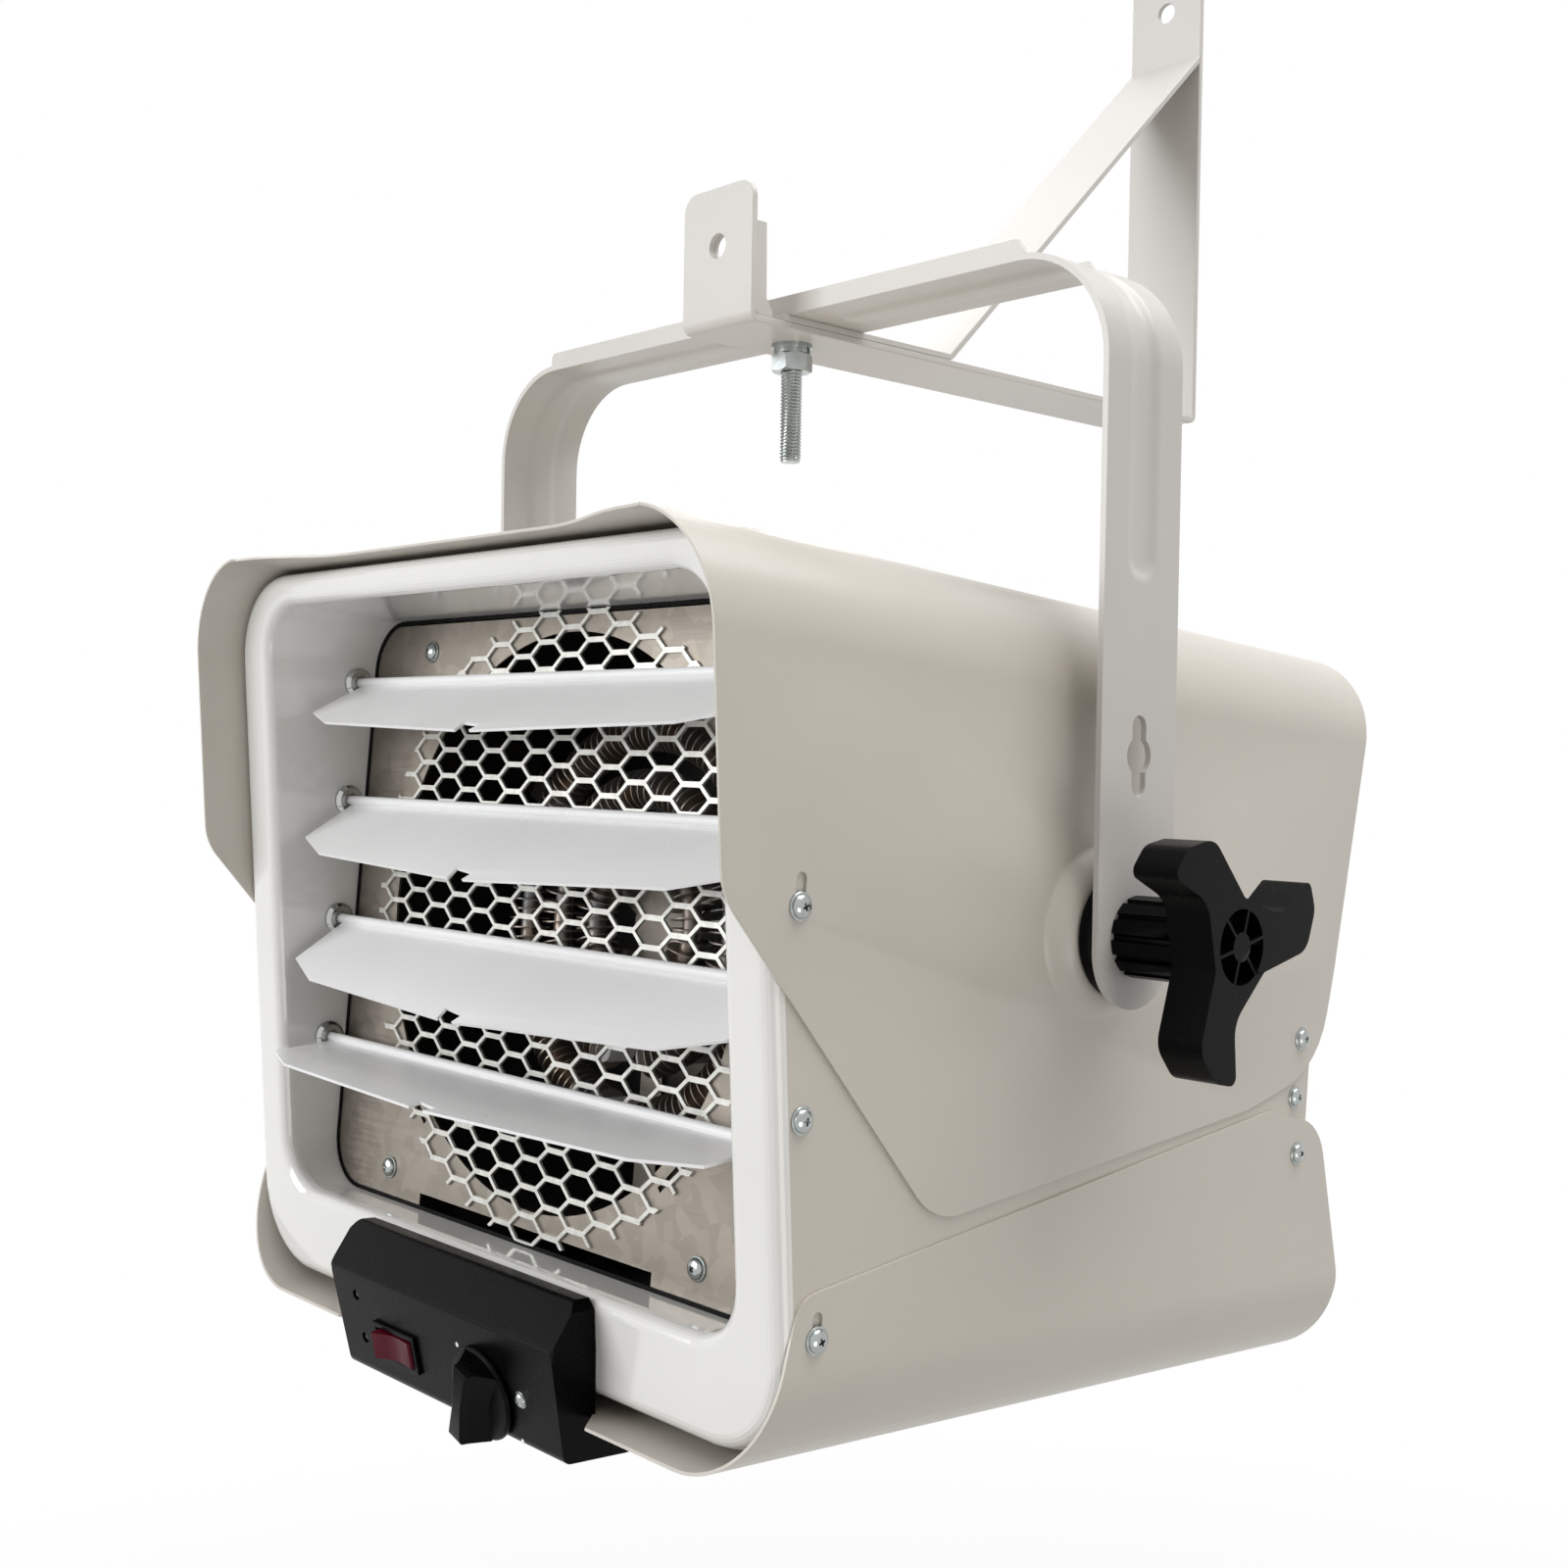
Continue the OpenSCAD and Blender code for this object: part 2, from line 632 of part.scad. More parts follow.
module louvre(i) {
  end_x = outlet_half - 5;
  bend_x = end_x - 28;
  blade_t = 1.2;
  tip = louvre_chord * 0.62;
  shoulder = louvre_chord * 0.84;
  heater() translate([0, -louvre_y, louvre_z - i * louvre_pitch]) rotate([louvre_slopes[i], 0, 0]) {
    translate([0, 0, -louvre_pin_r]) linear_extrude(blade_t) difference() {
      polygon([[-end_x, 0], [-end_x, -8], [-end_x, -tip], [-bend_x, -shoulder], [0, -louvre_chord],
        [bend_x, -shoulder], [end_x, -tip], [end_x, -8], [end_x, 0]]);
      // notch stamped in the front edge
      polygon([[-6, -louvre_chord - 2], [-9, -louvre_chord + 7], [5, -louvre_chord + 5], [3, -louvre_chord - 2]]);
    }
    // rolled rear edge and the end pins
    rod_x(-end_x, end_x, louvre_pin_r);
    rod_x(-outlet_half - funnel_t - 2, outlet_half + funnel_t + 2, louvre_pin_r);
  }
}
module louvre_1() color(bezel_white) louvre(0);
module louvre_2() color(bezel_white) louvre(1);
module louvre_3() color(bezel_white) louvre(2);
module louvre_4() color(bezel_white) louvre(3);

module louvre_eyelets() color(zinc) heater() {
  thick = 3.2;
  wall_x = outlet_half + funnel_gap;
  for (i = [0:3])
    translate([0, -louvre_y, louvre_z - i * louvre_pitch]) both_sides()
      turned_x() polygon([[louvre_pin_r + fit, wall_x - thick + 1], [3.4, wall_x - thick],
        [5.6, wall_x - thick], [7, wall_x - 1.4], [7, wall_x], [louvre_pin_r + fit, wall_x]]);
}

// ---- inner panel and guard ----

panel_screw_places = [for (x = [-1, 1]) for (z = [-outlet_floor + 14.5, outlet_top - 13.5])
  [x * (outlet_half - 47.5), z]];

module inner_panel() color(steel) heater() difference() {
  along_y(-panel_y, -panel_y + panel_t) difference() {
    pane(outlet_half - 0.5, -outlet_floor + 2, outlet_top - 1, 16);
    translate([0, guard_z]) circle(duct_r);
    // slot over the outlet's floor
    translate([-80, -outlet_floor]) square([160, 7.5]);
    for (p = panel_screw_places)
      translate(p) circle(2);
    // the guard's hooks
    for (a = [-46, 226])
      translate([0, guard_z]) rotate(a) translate([guard_r - 8, -8]) square([2.4, 16]);
  }
}

// One cell of the guard, drawn inside its webs
module cell() {
  point = cell_x - cell_flat;
  lean = atan2(cell_z / 2, point - cell_flat);
  inset = web_slant / 2 / sin(lean);
  high = cell_z / 2 - web_level / 2;
  side = point - inset;
  top = side - high / tan(lean);
  polygon([[side, 0], [top, high], [-top, high], [-side, 0], [-top, -high], [top, -high]]);
}
module honeycomb_guard() color([0.8, 0.79, 0.76]) heater() {
  columns = ceil(guard_r / cell_x);
  rows = ceil(guard_r / cell_z) + 1;
  translate([0, -panel_y - guard_t, guard_z]) rotate([-90, 0, 0]) linear_extrude(guard_t)
    difference() {
      // the rim is cut to fit inside the funnel
      intersection() {
        circle(guard_r);
        translate([0, guard_z]) scale([1, -1]) pane(outlet_half, -outlet_floor + lip_shift, outlet_top + lip_shift, outlet_r);
      }
      for (c = [-columns:columns])
        for (k = [-rows:rows])
          translate([c * cell_x, (k + (c % 2 == 0 ? 0 : 0.5)) * cell_z])
            if (norm([c * cell_x, (k + (c % 2 == 0 ? 0 : 0.5)) * cell_z]) < guard_r + 11)
              cell();
    }
}

module air_duct() color(steel) heater() translate([0, 0, guard_z]) {
  along_y(-panel_y + panel_t, -28) ring_2d(duct_r + 1, duct_r);
  along_y(-panel_y + panel_t, -panel_y + 2 * panel_t) ring_2d(duct_r + 8, duct_r + 0.5);
}

// ---- heating elements ----

ring_y = -80;
module element_ring(i) {
  r = ring_radii[i];
  gap = asin(14 / r);
  span = 360 - 2 * gap;
  heater() translate([0, ring_y, guard_z]) {
    // the tube runs round from one lead to the other at the foot
    rotate([90, 0, 0]) rotate([0, 0, gap - 90]) rotate_extrude(angle = span) translate([r, 0]) circle(tube_r);
    for (s = [-1, 1])
      rotate([0, s * gap, 0]) translate([0, 0, -r]) {
        rod_y(-5.5, 8, 5.4);
        rod_y(7, 62, lead_r);
        rod_y(45, 50, tube_r + 3);
      }
    for (k = [1:ring_fins[i]])
      rotate([0, gap + span * k / (ring_fins[i] + 1), 0]) translate([-0.4, 0, -r])
        rotate([0, 90, 0]) cylinder(h = 0.8, r = fin_r);
  }
}
module element_outer() color([0.35, 0.34, 0.33]) element_ring(0);
module element_middle() color([0.35, 0.34, 0.33]) element_ring(1);
module element_inner() color([0.35, 0.34, 0.33]) element_ring(2);

module element_supports() color(steel) heater() translate([0, ring_y, guard_z]) difference() {
  union() {
    for (a = [60, 180, 300])
      rotate([0, a, 0]) {
        translate([-7, fin_r + 2, 12]) cube([14, 1.5, duct_r - 12.5]);
        translate([-7, fin_r + 2, duct_r - 2]) cube([14, 30, 1.5]);
      }
    // plate that carries the leads
    translate([-26, 42, -110]) cube([52, 3, 96]);
    translate([-26, fin_r + 2, -16]) cube([52, 36, 3]);
    along_y(fin_r + 1.6, fin_r + 3.9) circle(18.5);
  }
  for (r = ring_radii)
    for (s = [-1, 1])
      rotate([0, s * asin(14 / r), 0]) translate([0, 0, -r]) rod_y(40, 55, lead_r + fit);
}

// ---- fan ----

fan_y = 22;
module fan_shroud() color(steel) heater() {
  along_y(104, 105.2) difference() {
    pane(case_half - sheet - 0.3, -bezel_floor + sheet + 0.3, bezel_top - sheet - 0.3, case_r - sheet - 0.3);
    translate([0, guard_z]) circle(duct_r);
  }
  translate([0, 0, guard_z]) {
    along_y(-28, 105) ring_2d(duct_r + 1, duct_r);
    turned_y() polygon([[duct_r, 104], [duct_r + 6, 110], [duct_r + 7, 109], [duct_r + 1, 103]]);
  }
}
module fan_blades() color([0.7, 0.71, 0.72]) heater() translate([0, fan_y, guard_z]) {
  hub_r = 26;
  bend_r = 110;
  waist = (hub_r + fan_r) / 2 - 5;
  for (i = [0:blade_count - 1])
    rotate([0, i * 360 / blade_count, 0]) intersection() {
      // blade outline seen from the front
      rotate([90, 0, 0]) translate([0, 0, -60]) linear_extrude(120)
        polygon(rounded([[-14, hub_r - 4, 0], [-38, waist, 30], [-40, fan_r, 16], [34, fan_r - 4, 26],
          [30, waist - 2, 40], [14, hub_r - 4, 0]], 5));
      // bent sheet set at its pitch
      rotate([0, 0, blade_pitch]) translate([0, bend_r, 0]) difference() {
        cylinder(h = fan_r + 10, r = bend_r, $fn = 128);
        translate([0, 0, -1]) cylinder(h = fan_r + 20, r = bend_r - 1.4, $fn = 128);
        translate([-200, 0, -1]) cube([400, 200, 300]);
      }
    }
  difference() {
    turned_y() polygon([[0, -14], [18, -14], [hub_r, -8], [hub_r, 16], [hub_r - 2, 16], [hub_r - 2, -6],
      [10, -6], [10, 16], [0, 16]]);
    rod_y(-8, 20, 4 + fit);
  }
}
module fan_motor() color([0.3, 0.3, 0.31]) heater() translate([0, 0, guard_z]) {
  rod_y(fan_y - 6, 50, 4);
  turned_y() polygon([[0, 44], [14, 44], [14, 50], [36, 52], [42, 57], [42, 96], [36, 101], [12, 103], [12, 108],
    [0, 108]]);
  for (a = [0:30:330])
    rotate([0, a, 0]) translate([41, 60, -1.5]) cube([2.6, 34, 3]);
}
module motor_mount() color(steel) heater() translate([0, 0, guard_z]) {
  along_y(71, 83) ring_2d(45.5, 43.6);
  for (a = [45:90:315])
    rotate([0, a, 0]) {
      translate([-6, 71, 45]) cube([12, 1.6, duct_r - 45.4]);
      translate([-6, 71, duct_r - 2]) cube([12, 12, 1.6]);
    }
}

// ---- rear ----

gland_r = 10;
gland_place = [-case_half + 48.8, -bezel_floor + 33];
module rear_panel() color(bracket_grey) heater() difference() {
  along_y(rear_y - sheet, rear_y) difference() {
    pane(case_half - sheet, -bezel_floor + sheet, bezel_top - sheet, case_r - sheet);
    translate([0, guard_z]) circle(rear_hole_r);
    translate(gland_place) circle(gland_r + 0.2);
    for (x = [-case_half + 26.8, case_half - 26.8])
      for (z = [-bezel_floor + 33, bezel_top - 27.3])
        translate([x, z]) circle(2);
  }
}
module rear_guard() color(zinc) heater() translate([0, rear_y, guard_z]) {
  wire = 1.5;
  rings = 8;
  for (i = [1:rings])
    rotate([-90, 0, 0]) translate([0, 0, wire + 1.2]) rotate_extrude($fn = 96)
      translate([(rear_hole_r + 6) * i / rings, 0]) circle(wire, $fn = 24);
  for (a = [0:60:300])
    rotate([0, a, 0]) translate([-2, 0, 8]) cube([4, 1.6, rear_hole_r]);
  rotate([0, 30, 0]) along_y(0.2, 2.6) circle(18);
}
module terminal_block() color([0.92, 0.9, 0.84]) heater() translate([-40, rear_y - sheet - 22, -bezel_floor + 9]) {
  difference() {
    cube([62, 22, 20]);
    for (i = [0:2])
      translate([7 + i * 18, -1, 8]) cube([12, 24, 13]);
  }
}
module limit_switch() color([0.75, 0.74, 0.72]) heater() translate([0, 0, duct_r + guard_z + 1]) {
  translate([-14, -70, 0]) cube([28, 16, 1]);
  translate([0, -62, 1]) cylinder(h = 7, r = 8);
}
module cable_gland() color(black) heater() translate([gland_place[0], 0, gland_place[1]]) {
  difference() {
    union() {
      rod_y(rear_y - 10, rear_y + 1, gland_r);
      translate([0, rear_y + 6, 0]) rotate([90, 0, 0]) linear_extrude(6) hexagon(26);
      translate([0, rear_y - sheet, 0]) rotate([90, 0, 0]) linear_extrude(5) hexagon(26);
      turned_y() polygon([[0, rear_y + 5], [12, rear_y + 5], [12, rear_y + 12], [9, rear_y + 18], [0, rear_y + 18]]);
    }
    rod_y(rear_y - 20, rear_y + 30, 5.5);
  }
}

// ---- controls ----

// The control face leans from its upper crease to its lower front edge
crease = [-front_y + 1.9, -outlet_floor - 17.9];
chin = [-front_y + 14.4, -outlet_floor - 60];
face_lean = atan2(chin[0] - crease[0], crease[1] - chin[1]);
// A frame whose origin is the control face's middle, -Y out of the face
module on_panel(x, down) {
  along = unit(chin - crease);
  translate([x, crease[0] + along[0] * down, crease[1] + along[1] * down])
    rotate([face_lean, 0, 0]) children();
}
rocker_place = [-box_half + 45.5, 26];
dial_place = [box_half - 49.5, 28.3];
screw_place = [box_half - 25.2, 24.7];
lamp_places = [[-box_half + 17.5, 10.5], [-box_half + 19, 29]];
// The rocker's axle lies along the panel's slope, this far inside it
rocker_axle = 3;

module control_box() color(black) heater() difference() {
  top = -outlet_floor - 0.1;
  // the back stands this far off the raked bezel
  stand = 0.3;
  heel = top - 39.4;
  side = [[-front_y - top * rake_slope - stand, top, 0], [-front_y + 12.4, top, 3], [crease[0], crease[1], 2],
    [chin[0], chin[1], 4], [-front_y + 45.4, chin[1], 3], [-front_y + 51.4, -hood_floor, 0],
    [-front_y - heel * rake_slope - stand + 1, -hood_floor, 0], [-front_y - heel * rake_slope - stand, heel, 0]];
  intersection() {
    along_x(-box_half, box_half) polygon(rounded(side, 4));
    // ends taper towards the chin and the back
    along_y(-front_y - 30, -front_y + 70) polygon([[-box_half, top - 3.9], [-box_half + 4, top + 1.6],
      [box_half - 4, top + 1.6], [box_half, top - 3.9], [box_half, top - 18.4], [box_half - 3, top - 61.4],
      [-box_half + 3, top - 61.4], [-box_half, top - 18.4]]);
    translate([0, -front_y, 0]) linear_extrude(600, center = true)
      polygon([[-box_half + 1.5, -0.1], [box_half - 1.5, -0.1], [box_half, 3.4], [box_half, 70],
        [-box_half, 70], [-box_half, 3.4]]);
  }
  // the cavity is open towards the heater
  along_x(-box_half + 6, box_half - 6) polygon(inset(side, 2.2));
  translate([-50, -front_y + 24.4, -hood_floor + 3]) cube([100, 24, 20]);
  on_panel(rocker_place[0], rocker_place[1]) translate([-13.6, -1, -6.3]) cube([27.2, 14, 12.6]);
  on_panel(dial_place[0], dial_place[1]) rod_y(-1, 14, 4);
  for (p = lamp_places)
    on_panel(p[0], p[1]) rod_y(-1, 6, lamp_r);
  on_panel(screw_place[0], screw_place[1]) rod_y(-1, 1.2, 3.4);
  on_panel(screw_place[0], screw_place[1]) rod_y(-1, 6, 1.5);
}
module rocker_frame() color(black) heater() on_panel(rocker_place[0], rocker_place[1]) difference() {
  translate([-15.5, -1.6, -8]) cube([31, 1.6, 16]);
  translate([-13.1, -3, -5.8]) cube([26.2, 6, 11.6]);
}
module rocker_switch() color([0.45, 0.06, 0.08]) heater() on_panel(rocker_place[0], rocker_place[1])
  translate([0, rocker_axle, 0]) rotate([0, 0, rocker_lean]) translate([0, -rocker_axle, 0]) {
    // pins on the rocker's axle
    translate([0, rocker_axle, -5.9]) cylinder(h = 11.8, r = 1.5);
    translate([0, 0, -5.4]) linear_extrude(10.8) polygon([[-11.8, 1], [-12.2, -3.4], [-11.2, -4.1], [-5, -2.6], [0, -2.1], [5, -2.6],
      [11.2, -4.1], [12.2, -3.4], [11.8, 1], [7, 6], [-7, 6]]);
  }
module thermostat_knob() color(black) heater() on_panel(dial_place[0], dial_place[1]) rotate([0, 22, 0]) {
  turned_y() polygon([[0, -0.4], [18, -0.4], [18.4, -0.8], [18.4, -1.8], [17.6, -2.8], [13.4, -3.2], [12.6, -6],
    [0, -6]]);
  // grip bar, with a pointer end
  translate([-4.2, 0, 0]) rotate([90, 0, 90]) linear_extrude(8.4)
    polygon([[-5, -16.6], [-5, 16.6], [-8.5, 16.8], [-12.4, 14.2], [-13, 12], [-13, -12.5], [-12.2, -14.8],
      [-8.5, -16.6]]);
  rod_y(-3, 10, 4 - fit);
}
module indicator_lenses() color([0.2, 0.1, 0.08]) heater() {
  for (p = lamp_places)
    on_panel(p[0], p[1]) turned_y() polygon([[0, 5], [lamp_r, 5], [lamp_r, 1.6], [1.8, 0.9], [0.8, 0.6], [0, 0.6]]);
}
module box_screw() color(zinc) heater() on_panel(screw_place[0], screw_place[1])
  turned_y() polygon([[0, 6], [1.5, 6], [1.5, 1.2], [3, 1.2], [2.8, 0.2], [1.8, -0.7], [0.6, -1], [0, -1]]);

// ---- screws ----

// A pan head with its washer and thread, on the surface x = 0 and out to +X
module pan_screw() {
  turned_x() polygon([[0, -7], [1.7, -7], [1.7, 0], [4.9, 0], [4.9, 0.7], [4.1, 0.8], [4.1, 1.6], [3.2, 2.6],
    [1.6, 3.1], [0, 3.1]]);
}
module side_screws() color(zinc) heater() both_sides() {
  for (p = concat(hood_screws, floor_screws))
    translate([hood_half, p[0], p[1]]) pan_screw();
  for (p = case_screws)
    translate([case_half, p[0], p[1]]) pan_screw();
}
module panel_screws() color(zinc) heater() {
  for (p = panel_screw_places)
    translate([p[0], -panel_y, p[1]]) rotate([0, 0, -90]) pan_screw();
}

ceiling_bracket();
bracket_brace();
tab_stiffener();
swivel_bolt();
swivel_flat_washer();
swivel_spring_washer();
swivel_nut();
yoke();
knob_right();
knob_left();
pivot_stud_right();
pivot_stud_left();
friction_disc_right();
friction_disc_left();
top_hood();
bottom_hood();
case_shell();
front_bezel();
louvre_1();
louvre_2();
louvre_3();
louvre_4();
louvre_eyelets();
inner_panel();
honeycomb_guard();
air_duct();
element_outer();
element_middle();
element_inner();
element_supports();
fan_shroud();
fan_blades();
fan_motor();
motor_mount();
rear_panel();
rear_guard();
control_box();
rocker_switch();
rocker_frame();
thermostat_knob();
indicator_lenses();
box_screw();
terminal_block();
limit_switch();
cable_gland();
side_screws();
panel_screws();
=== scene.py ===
"""Finishes, fine pieces, camera and light for a ceiling mounted fan heater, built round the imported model."""

import json
import math

import bmesh
import bpy
from mathutils import Matrix, Vector


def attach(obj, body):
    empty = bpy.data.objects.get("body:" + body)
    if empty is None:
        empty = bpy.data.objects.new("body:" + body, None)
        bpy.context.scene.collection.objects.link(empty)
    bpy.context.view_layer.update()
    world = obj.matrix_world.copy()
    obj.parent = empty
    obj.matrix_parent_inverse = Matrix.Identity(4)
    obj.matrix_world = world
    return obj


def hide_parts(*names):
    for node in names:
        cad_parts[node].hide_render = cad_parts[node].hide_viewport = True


bl_info = {
    "name": "Ceiling mounted fan heater",
    "version": (1, 0, 0),
    "blender": (4, 5, 0),
    "location": "View3D > Sidebar > Fan heater",
    "description": "Dresses the packed model of a ceiling mounted fan heater",
    "category": "Object",
}

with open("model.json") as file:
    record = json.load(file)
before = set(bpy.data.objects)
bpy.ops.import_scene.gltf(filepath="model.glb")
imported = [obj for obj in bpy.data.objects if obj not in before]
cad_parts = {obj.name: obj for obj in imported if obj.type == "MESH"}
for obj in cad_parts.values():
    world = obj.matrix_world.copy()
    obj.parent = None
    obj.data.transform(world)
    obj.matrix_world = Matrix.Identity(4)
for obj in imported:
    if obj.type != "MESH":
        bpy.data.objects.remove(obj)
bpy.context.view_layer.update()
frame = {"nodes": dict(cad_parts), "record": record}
NODES = frame["nodes"]
BODY_OF = {n: b for b, names in frame["record"]["behaviour"]["bodies"].items() for n in names}
SLOT_OF = {s["node"]: s["material_slot"] for s in frame["record"]["subparts"]}

# ---- places, repeated from the part's source, in millimetres ----

MM = 0.001
# the side pivots in the row's frame, and the heater's lean about them in degrees
PIVOT_TO_ROW = Vector((0, -282.5, -480.5))
BODY_TILT = -4.5
# half widths of the hoods and of the case between them
HOOD_HALF = 178
CASE_HALF = 176.8
# depth and height of the screws on the sides
HOOD_SCREWS = ((-159.6, 4.5), (150.5, -42.7), (-137.5, -138.2), (152.4, -92.7))
CASE_SCREWS = ((-150.6, -65.5), (149.8, -68.2))
# the inner panel's face, and its screws' places across and up
PANEL_Y = -128
PANEL_SCREWS = ((-105.5, -131), (105.5, -131), (-105.5, 100), (105.5, 100))
# middle of the element rings, and their radii
RING_Y = -80
GUARD_Z = -12.5
RINGS = (("element_outer", 82), ("element_middle", 57), ("element_inner", 32))
LEAD_HALF = 14
SHEATH_R = 4
# upper and lower ends of the control face, as depth and height
CREASE = Vector((-170.5, -163.4))
CHIN = Vector((-158, -205.5))
# places on that face: across from the middle, and down from the crease
DIAL_AT = (28.5, 28.3)
BOX_SCREW_AT = (52.8, 24.7)
DOTS_AT = ((14.2, 12.8), (49.8, 42.2))
DIAL_TURN = 22
# the yoke's strip: outside half width and height, bend, width, thickness and the pivot's end
YOKE_HALF = 195
YOKE_TOP = 260
YOKE_R = 45
YOKE_W = 46.5
YOKE_T = 2.5
YOKE_FOOT = -4.5
# its groove: start from the top's middle, end above the pivots, and the width of its soft wall
GROOVE_START = 42
GROOVE_END = 142.5
GROOVE_SLOPE = 5
# holes for the studs and the bolt, and the keyhole: height, radii and reach
PIVOT_R = 5.06
KEYHOLE_Z = 68
KEYHOLE_R = 7.4
KEYHOLE_END_R = 4.3
KEYHOLE_REACH = 11
# the swivel bolt: radius, lower end, end of the thread, and its head
BOLT_R = 5
BOLT_END = 198.5
THREAD_TOP = 250
HEAD_HEIGHT = 6.2
HEAD_FLATS = 17
# the funnel's rear opening
OUTLET_HALF = 153.35
OUTLET_TOP = 114.8
OUTLET_FLOOR = -144.9
OUTLET_R = 22.35
# the camera, solved from the photograph's straight edges: place, turn in degrees and focal length
CAMERA_AT = (610.47, -571.58, 66.09)
CAMERA_TURN = (46.9, -0.9, 1.0)
FOCAL_PIXELS = 1880
PHOTO_PIXELS = 1600
SENSOR = 36


def mm(*values):
    """Millimetres from the side pivots to metres in the row's frame."""
    return (Vector(values) + PIVOT_TO_ROW) * MM


ROW = Matrix.Translation(PIVOT_TO_ROW * MM)
HEATER = ROW @ Matrix.Rotation(math.radians(BODY_TILT), 4, "X")
FACE_LEAN = math.atan2(CHIN.x - CREASE.x, CREASE.y - CHIN.y)


def panel_frame(x, down):
    """The control face's own frame: X to the right, Y into the face, Z up the face."""
    along = (CHIN - CREASE).normalized()
    at = Vector((x, CREASE.x + along.x * down, CREASE.y + along.y * down)) * MM
    return HEATER @ Matrix.Translation(at) @ Matrix.Rotation(FACE_LEAN, 4, "X")


# ---- colours and sizes that a user would change ----


def linear(code):
    """An sRGB hex code as linear red, green and blue."""
    parts = [int(code[i : i + 2], 16) / 255 for i in (1, 3, 5)]
    return [c / 12.92 if c <= 0.04045 else ((c + 0.055) / 1.055) ** 2.4 for c in parts]


def colour(name, text, code):
    """A colour that a user can change, from its sRGB hex code."""
    return bpy.props.FloatVectorProperty(
        name=name, description=text, default=linear(code), subtype="COLOR", size=3, min=0, max=1
    )


def length(name, text, size):
    """A length that a user can change, from its size in millimetres."""
    return bpy.props.FloatProperty(
        name=name, description=text, default=size * MM, unit="LENGTH", precision=5, min=0
    )


class HeaterColours(bpy.types.PropertyGroup):
    hood: colour("Hood enamel", "Powder coat of the hoods, case and rear panel", "#C6C1B8")
    bracket: colour("Bracket enamel", "Powder coat of the bracket and yoke", "#C9C6C2")
    bezel: colour("Front frame", "Gloss of the moulded front frame", "#E4E3E1")
    louvre: colour("Louvre enamel", "Stove enamel of the louvres", "#EAEAEB")
    guard: colour("Guard", "Finish of the honeycomb guard", "#D3D2CC")
    panel: colour("Inner panel", "Aluminised sheet of the inner panel", "#8E877E")
    zinc: colour("Zinc", "Plating of the bolts and screws", "#A9AEAD")
    black: colour("Black plastic", "Moulded knobs and control box", "#070708")
    rocker: colour("Rocker", "Dark red rocker", "#4A0418")
    sheath: colour("Element sheath", "Heat-darkened steel of the elements", "#A6A19A")
    floor: colour("Floor", "Floor under the heater", "#A9A9A8")


class HeaterSizes(bpy.types.PropertyGroup):
    sheet_edge: length("Sheet edge", "Rounding of cut sheet edges", 0.3)
    strip_edge: length("Strip edge", "Rounding of the bracket strip's edges", 0.6)
    groove_depth: length("Groove depth", "Depth of the yoke's pressed groove", 1.8)
    groove_half: length("Groove floor", "Half width of the groove's floor", 4.2)
    # width of the black strip round the inner panel, which is painted shade in the crease
    crease_shade_width: length("Seal width", "Width of the dark seal round the inner panel", 1.8)
    mould_edge: length("Moulded edge", "Rounding of the moulded black parts", 1.1)
    small_edge: length("Small edge", "Rounding of small controls", 0.5)
    fin_gap: length("Fin gap", "Distance between the element's fins", 4.4)
    fin_radius: length("Fin radius", "Radius of the element's fins", 9.0)
    fin_thickness: length("Fin thickness", "Thickness of one fin", 0.6)
    thread_pitch: length("Thread pitch", "Pitch of the swivel bolt's thread", 1.5)
    thread_depth: length("Thread depth", "Depth of the swivel bolt's thread", 0.75)


# ---- materials ----


def add(tree, kind, links=(), **settings):
    """Adds a node, sets its settings and its inputs, each a value or another node's output."""
    node = tree.nodes.new(kind)
    for name, value in settings.items():
        setattr(node, name, value)
    for name, value in links:
        if isinstance(value, bpy.types.NodeSocket):
            tree.links.new(value, node.inputs[name])
        else:
            node.inputs[name].default_value = value
    return node


def per_mm(size):
    """A texture's scale for features of this many millimetres."""
    return 1 / (size * MM)


def tinted(rgb, factor=1):
    """The colour made darker or lighter by a factor, with its alpha."""
    return (*[min(1, c * factor) for c in rgb], 1.0)


def emptied(owner):
    """The emptied node tree of a material or world."""
    owner.use_nodes = True
    owner.node_tree.nodes.clear()
    return owner.node_tree


def begun(name, **levels):
    """A material with its tree, its shader at these levels and the piece's own coordinates."""
    made = bpy.data.materials.new(name)
    tree = emptied(made)
    even = [(socket.replace("_", " "), value) for socket, value in levels.items()]
    shader = add(tree, "ShaderNodeBsdfPrincipled", even)
    add(tree, "ShaderNodeOutputMaterial", [("Surface", shader.outputs["BSDF"])])
    where = add(tree, "ShaderNodeTexCoord").outputs["Object"]
    return made, tree, shader, where


def skin(tree, shader, tone, tints, relief, depth, gloss=None, low=0, high=0):
    """Colour, relief and gloss, each from a field's middle range.

    The tone runs between the two tints, the relief is this many millimetres deep, and a gloss field
    makes the roughness run from low to high.
    """
    middle = [("From Min", 0.3), ("From Max", 0.7)]
    drift = add(tree, "ShaderNodeMapRange", [("Value", tone)] + middle)
    mixed = [(0, drift.outputs["Result"]), (6, tints[0]), (7, tints[1])]
    paint = add(tree, "ShaderNodeMix", mixed, data_type="RGBA")
    tree.links.new(paint.outputs[2], shader.inputs["Base Color"])
    if gloss is not None:
        run = add(tree, "ShaderNodeMapRange", [("Value", gloss), ("To Min", low), ("To Max", high)] + middle)
        tree.links.new(run.outputs["Result"], shader.inputs["Roughness"])
    dents = add(tree, "ShaderNodeBump", [("Height", relief), ("Distance", depth * MM)])
    tree.links.new(dents.outputs["Normal"], shader.inputs["Normal"])


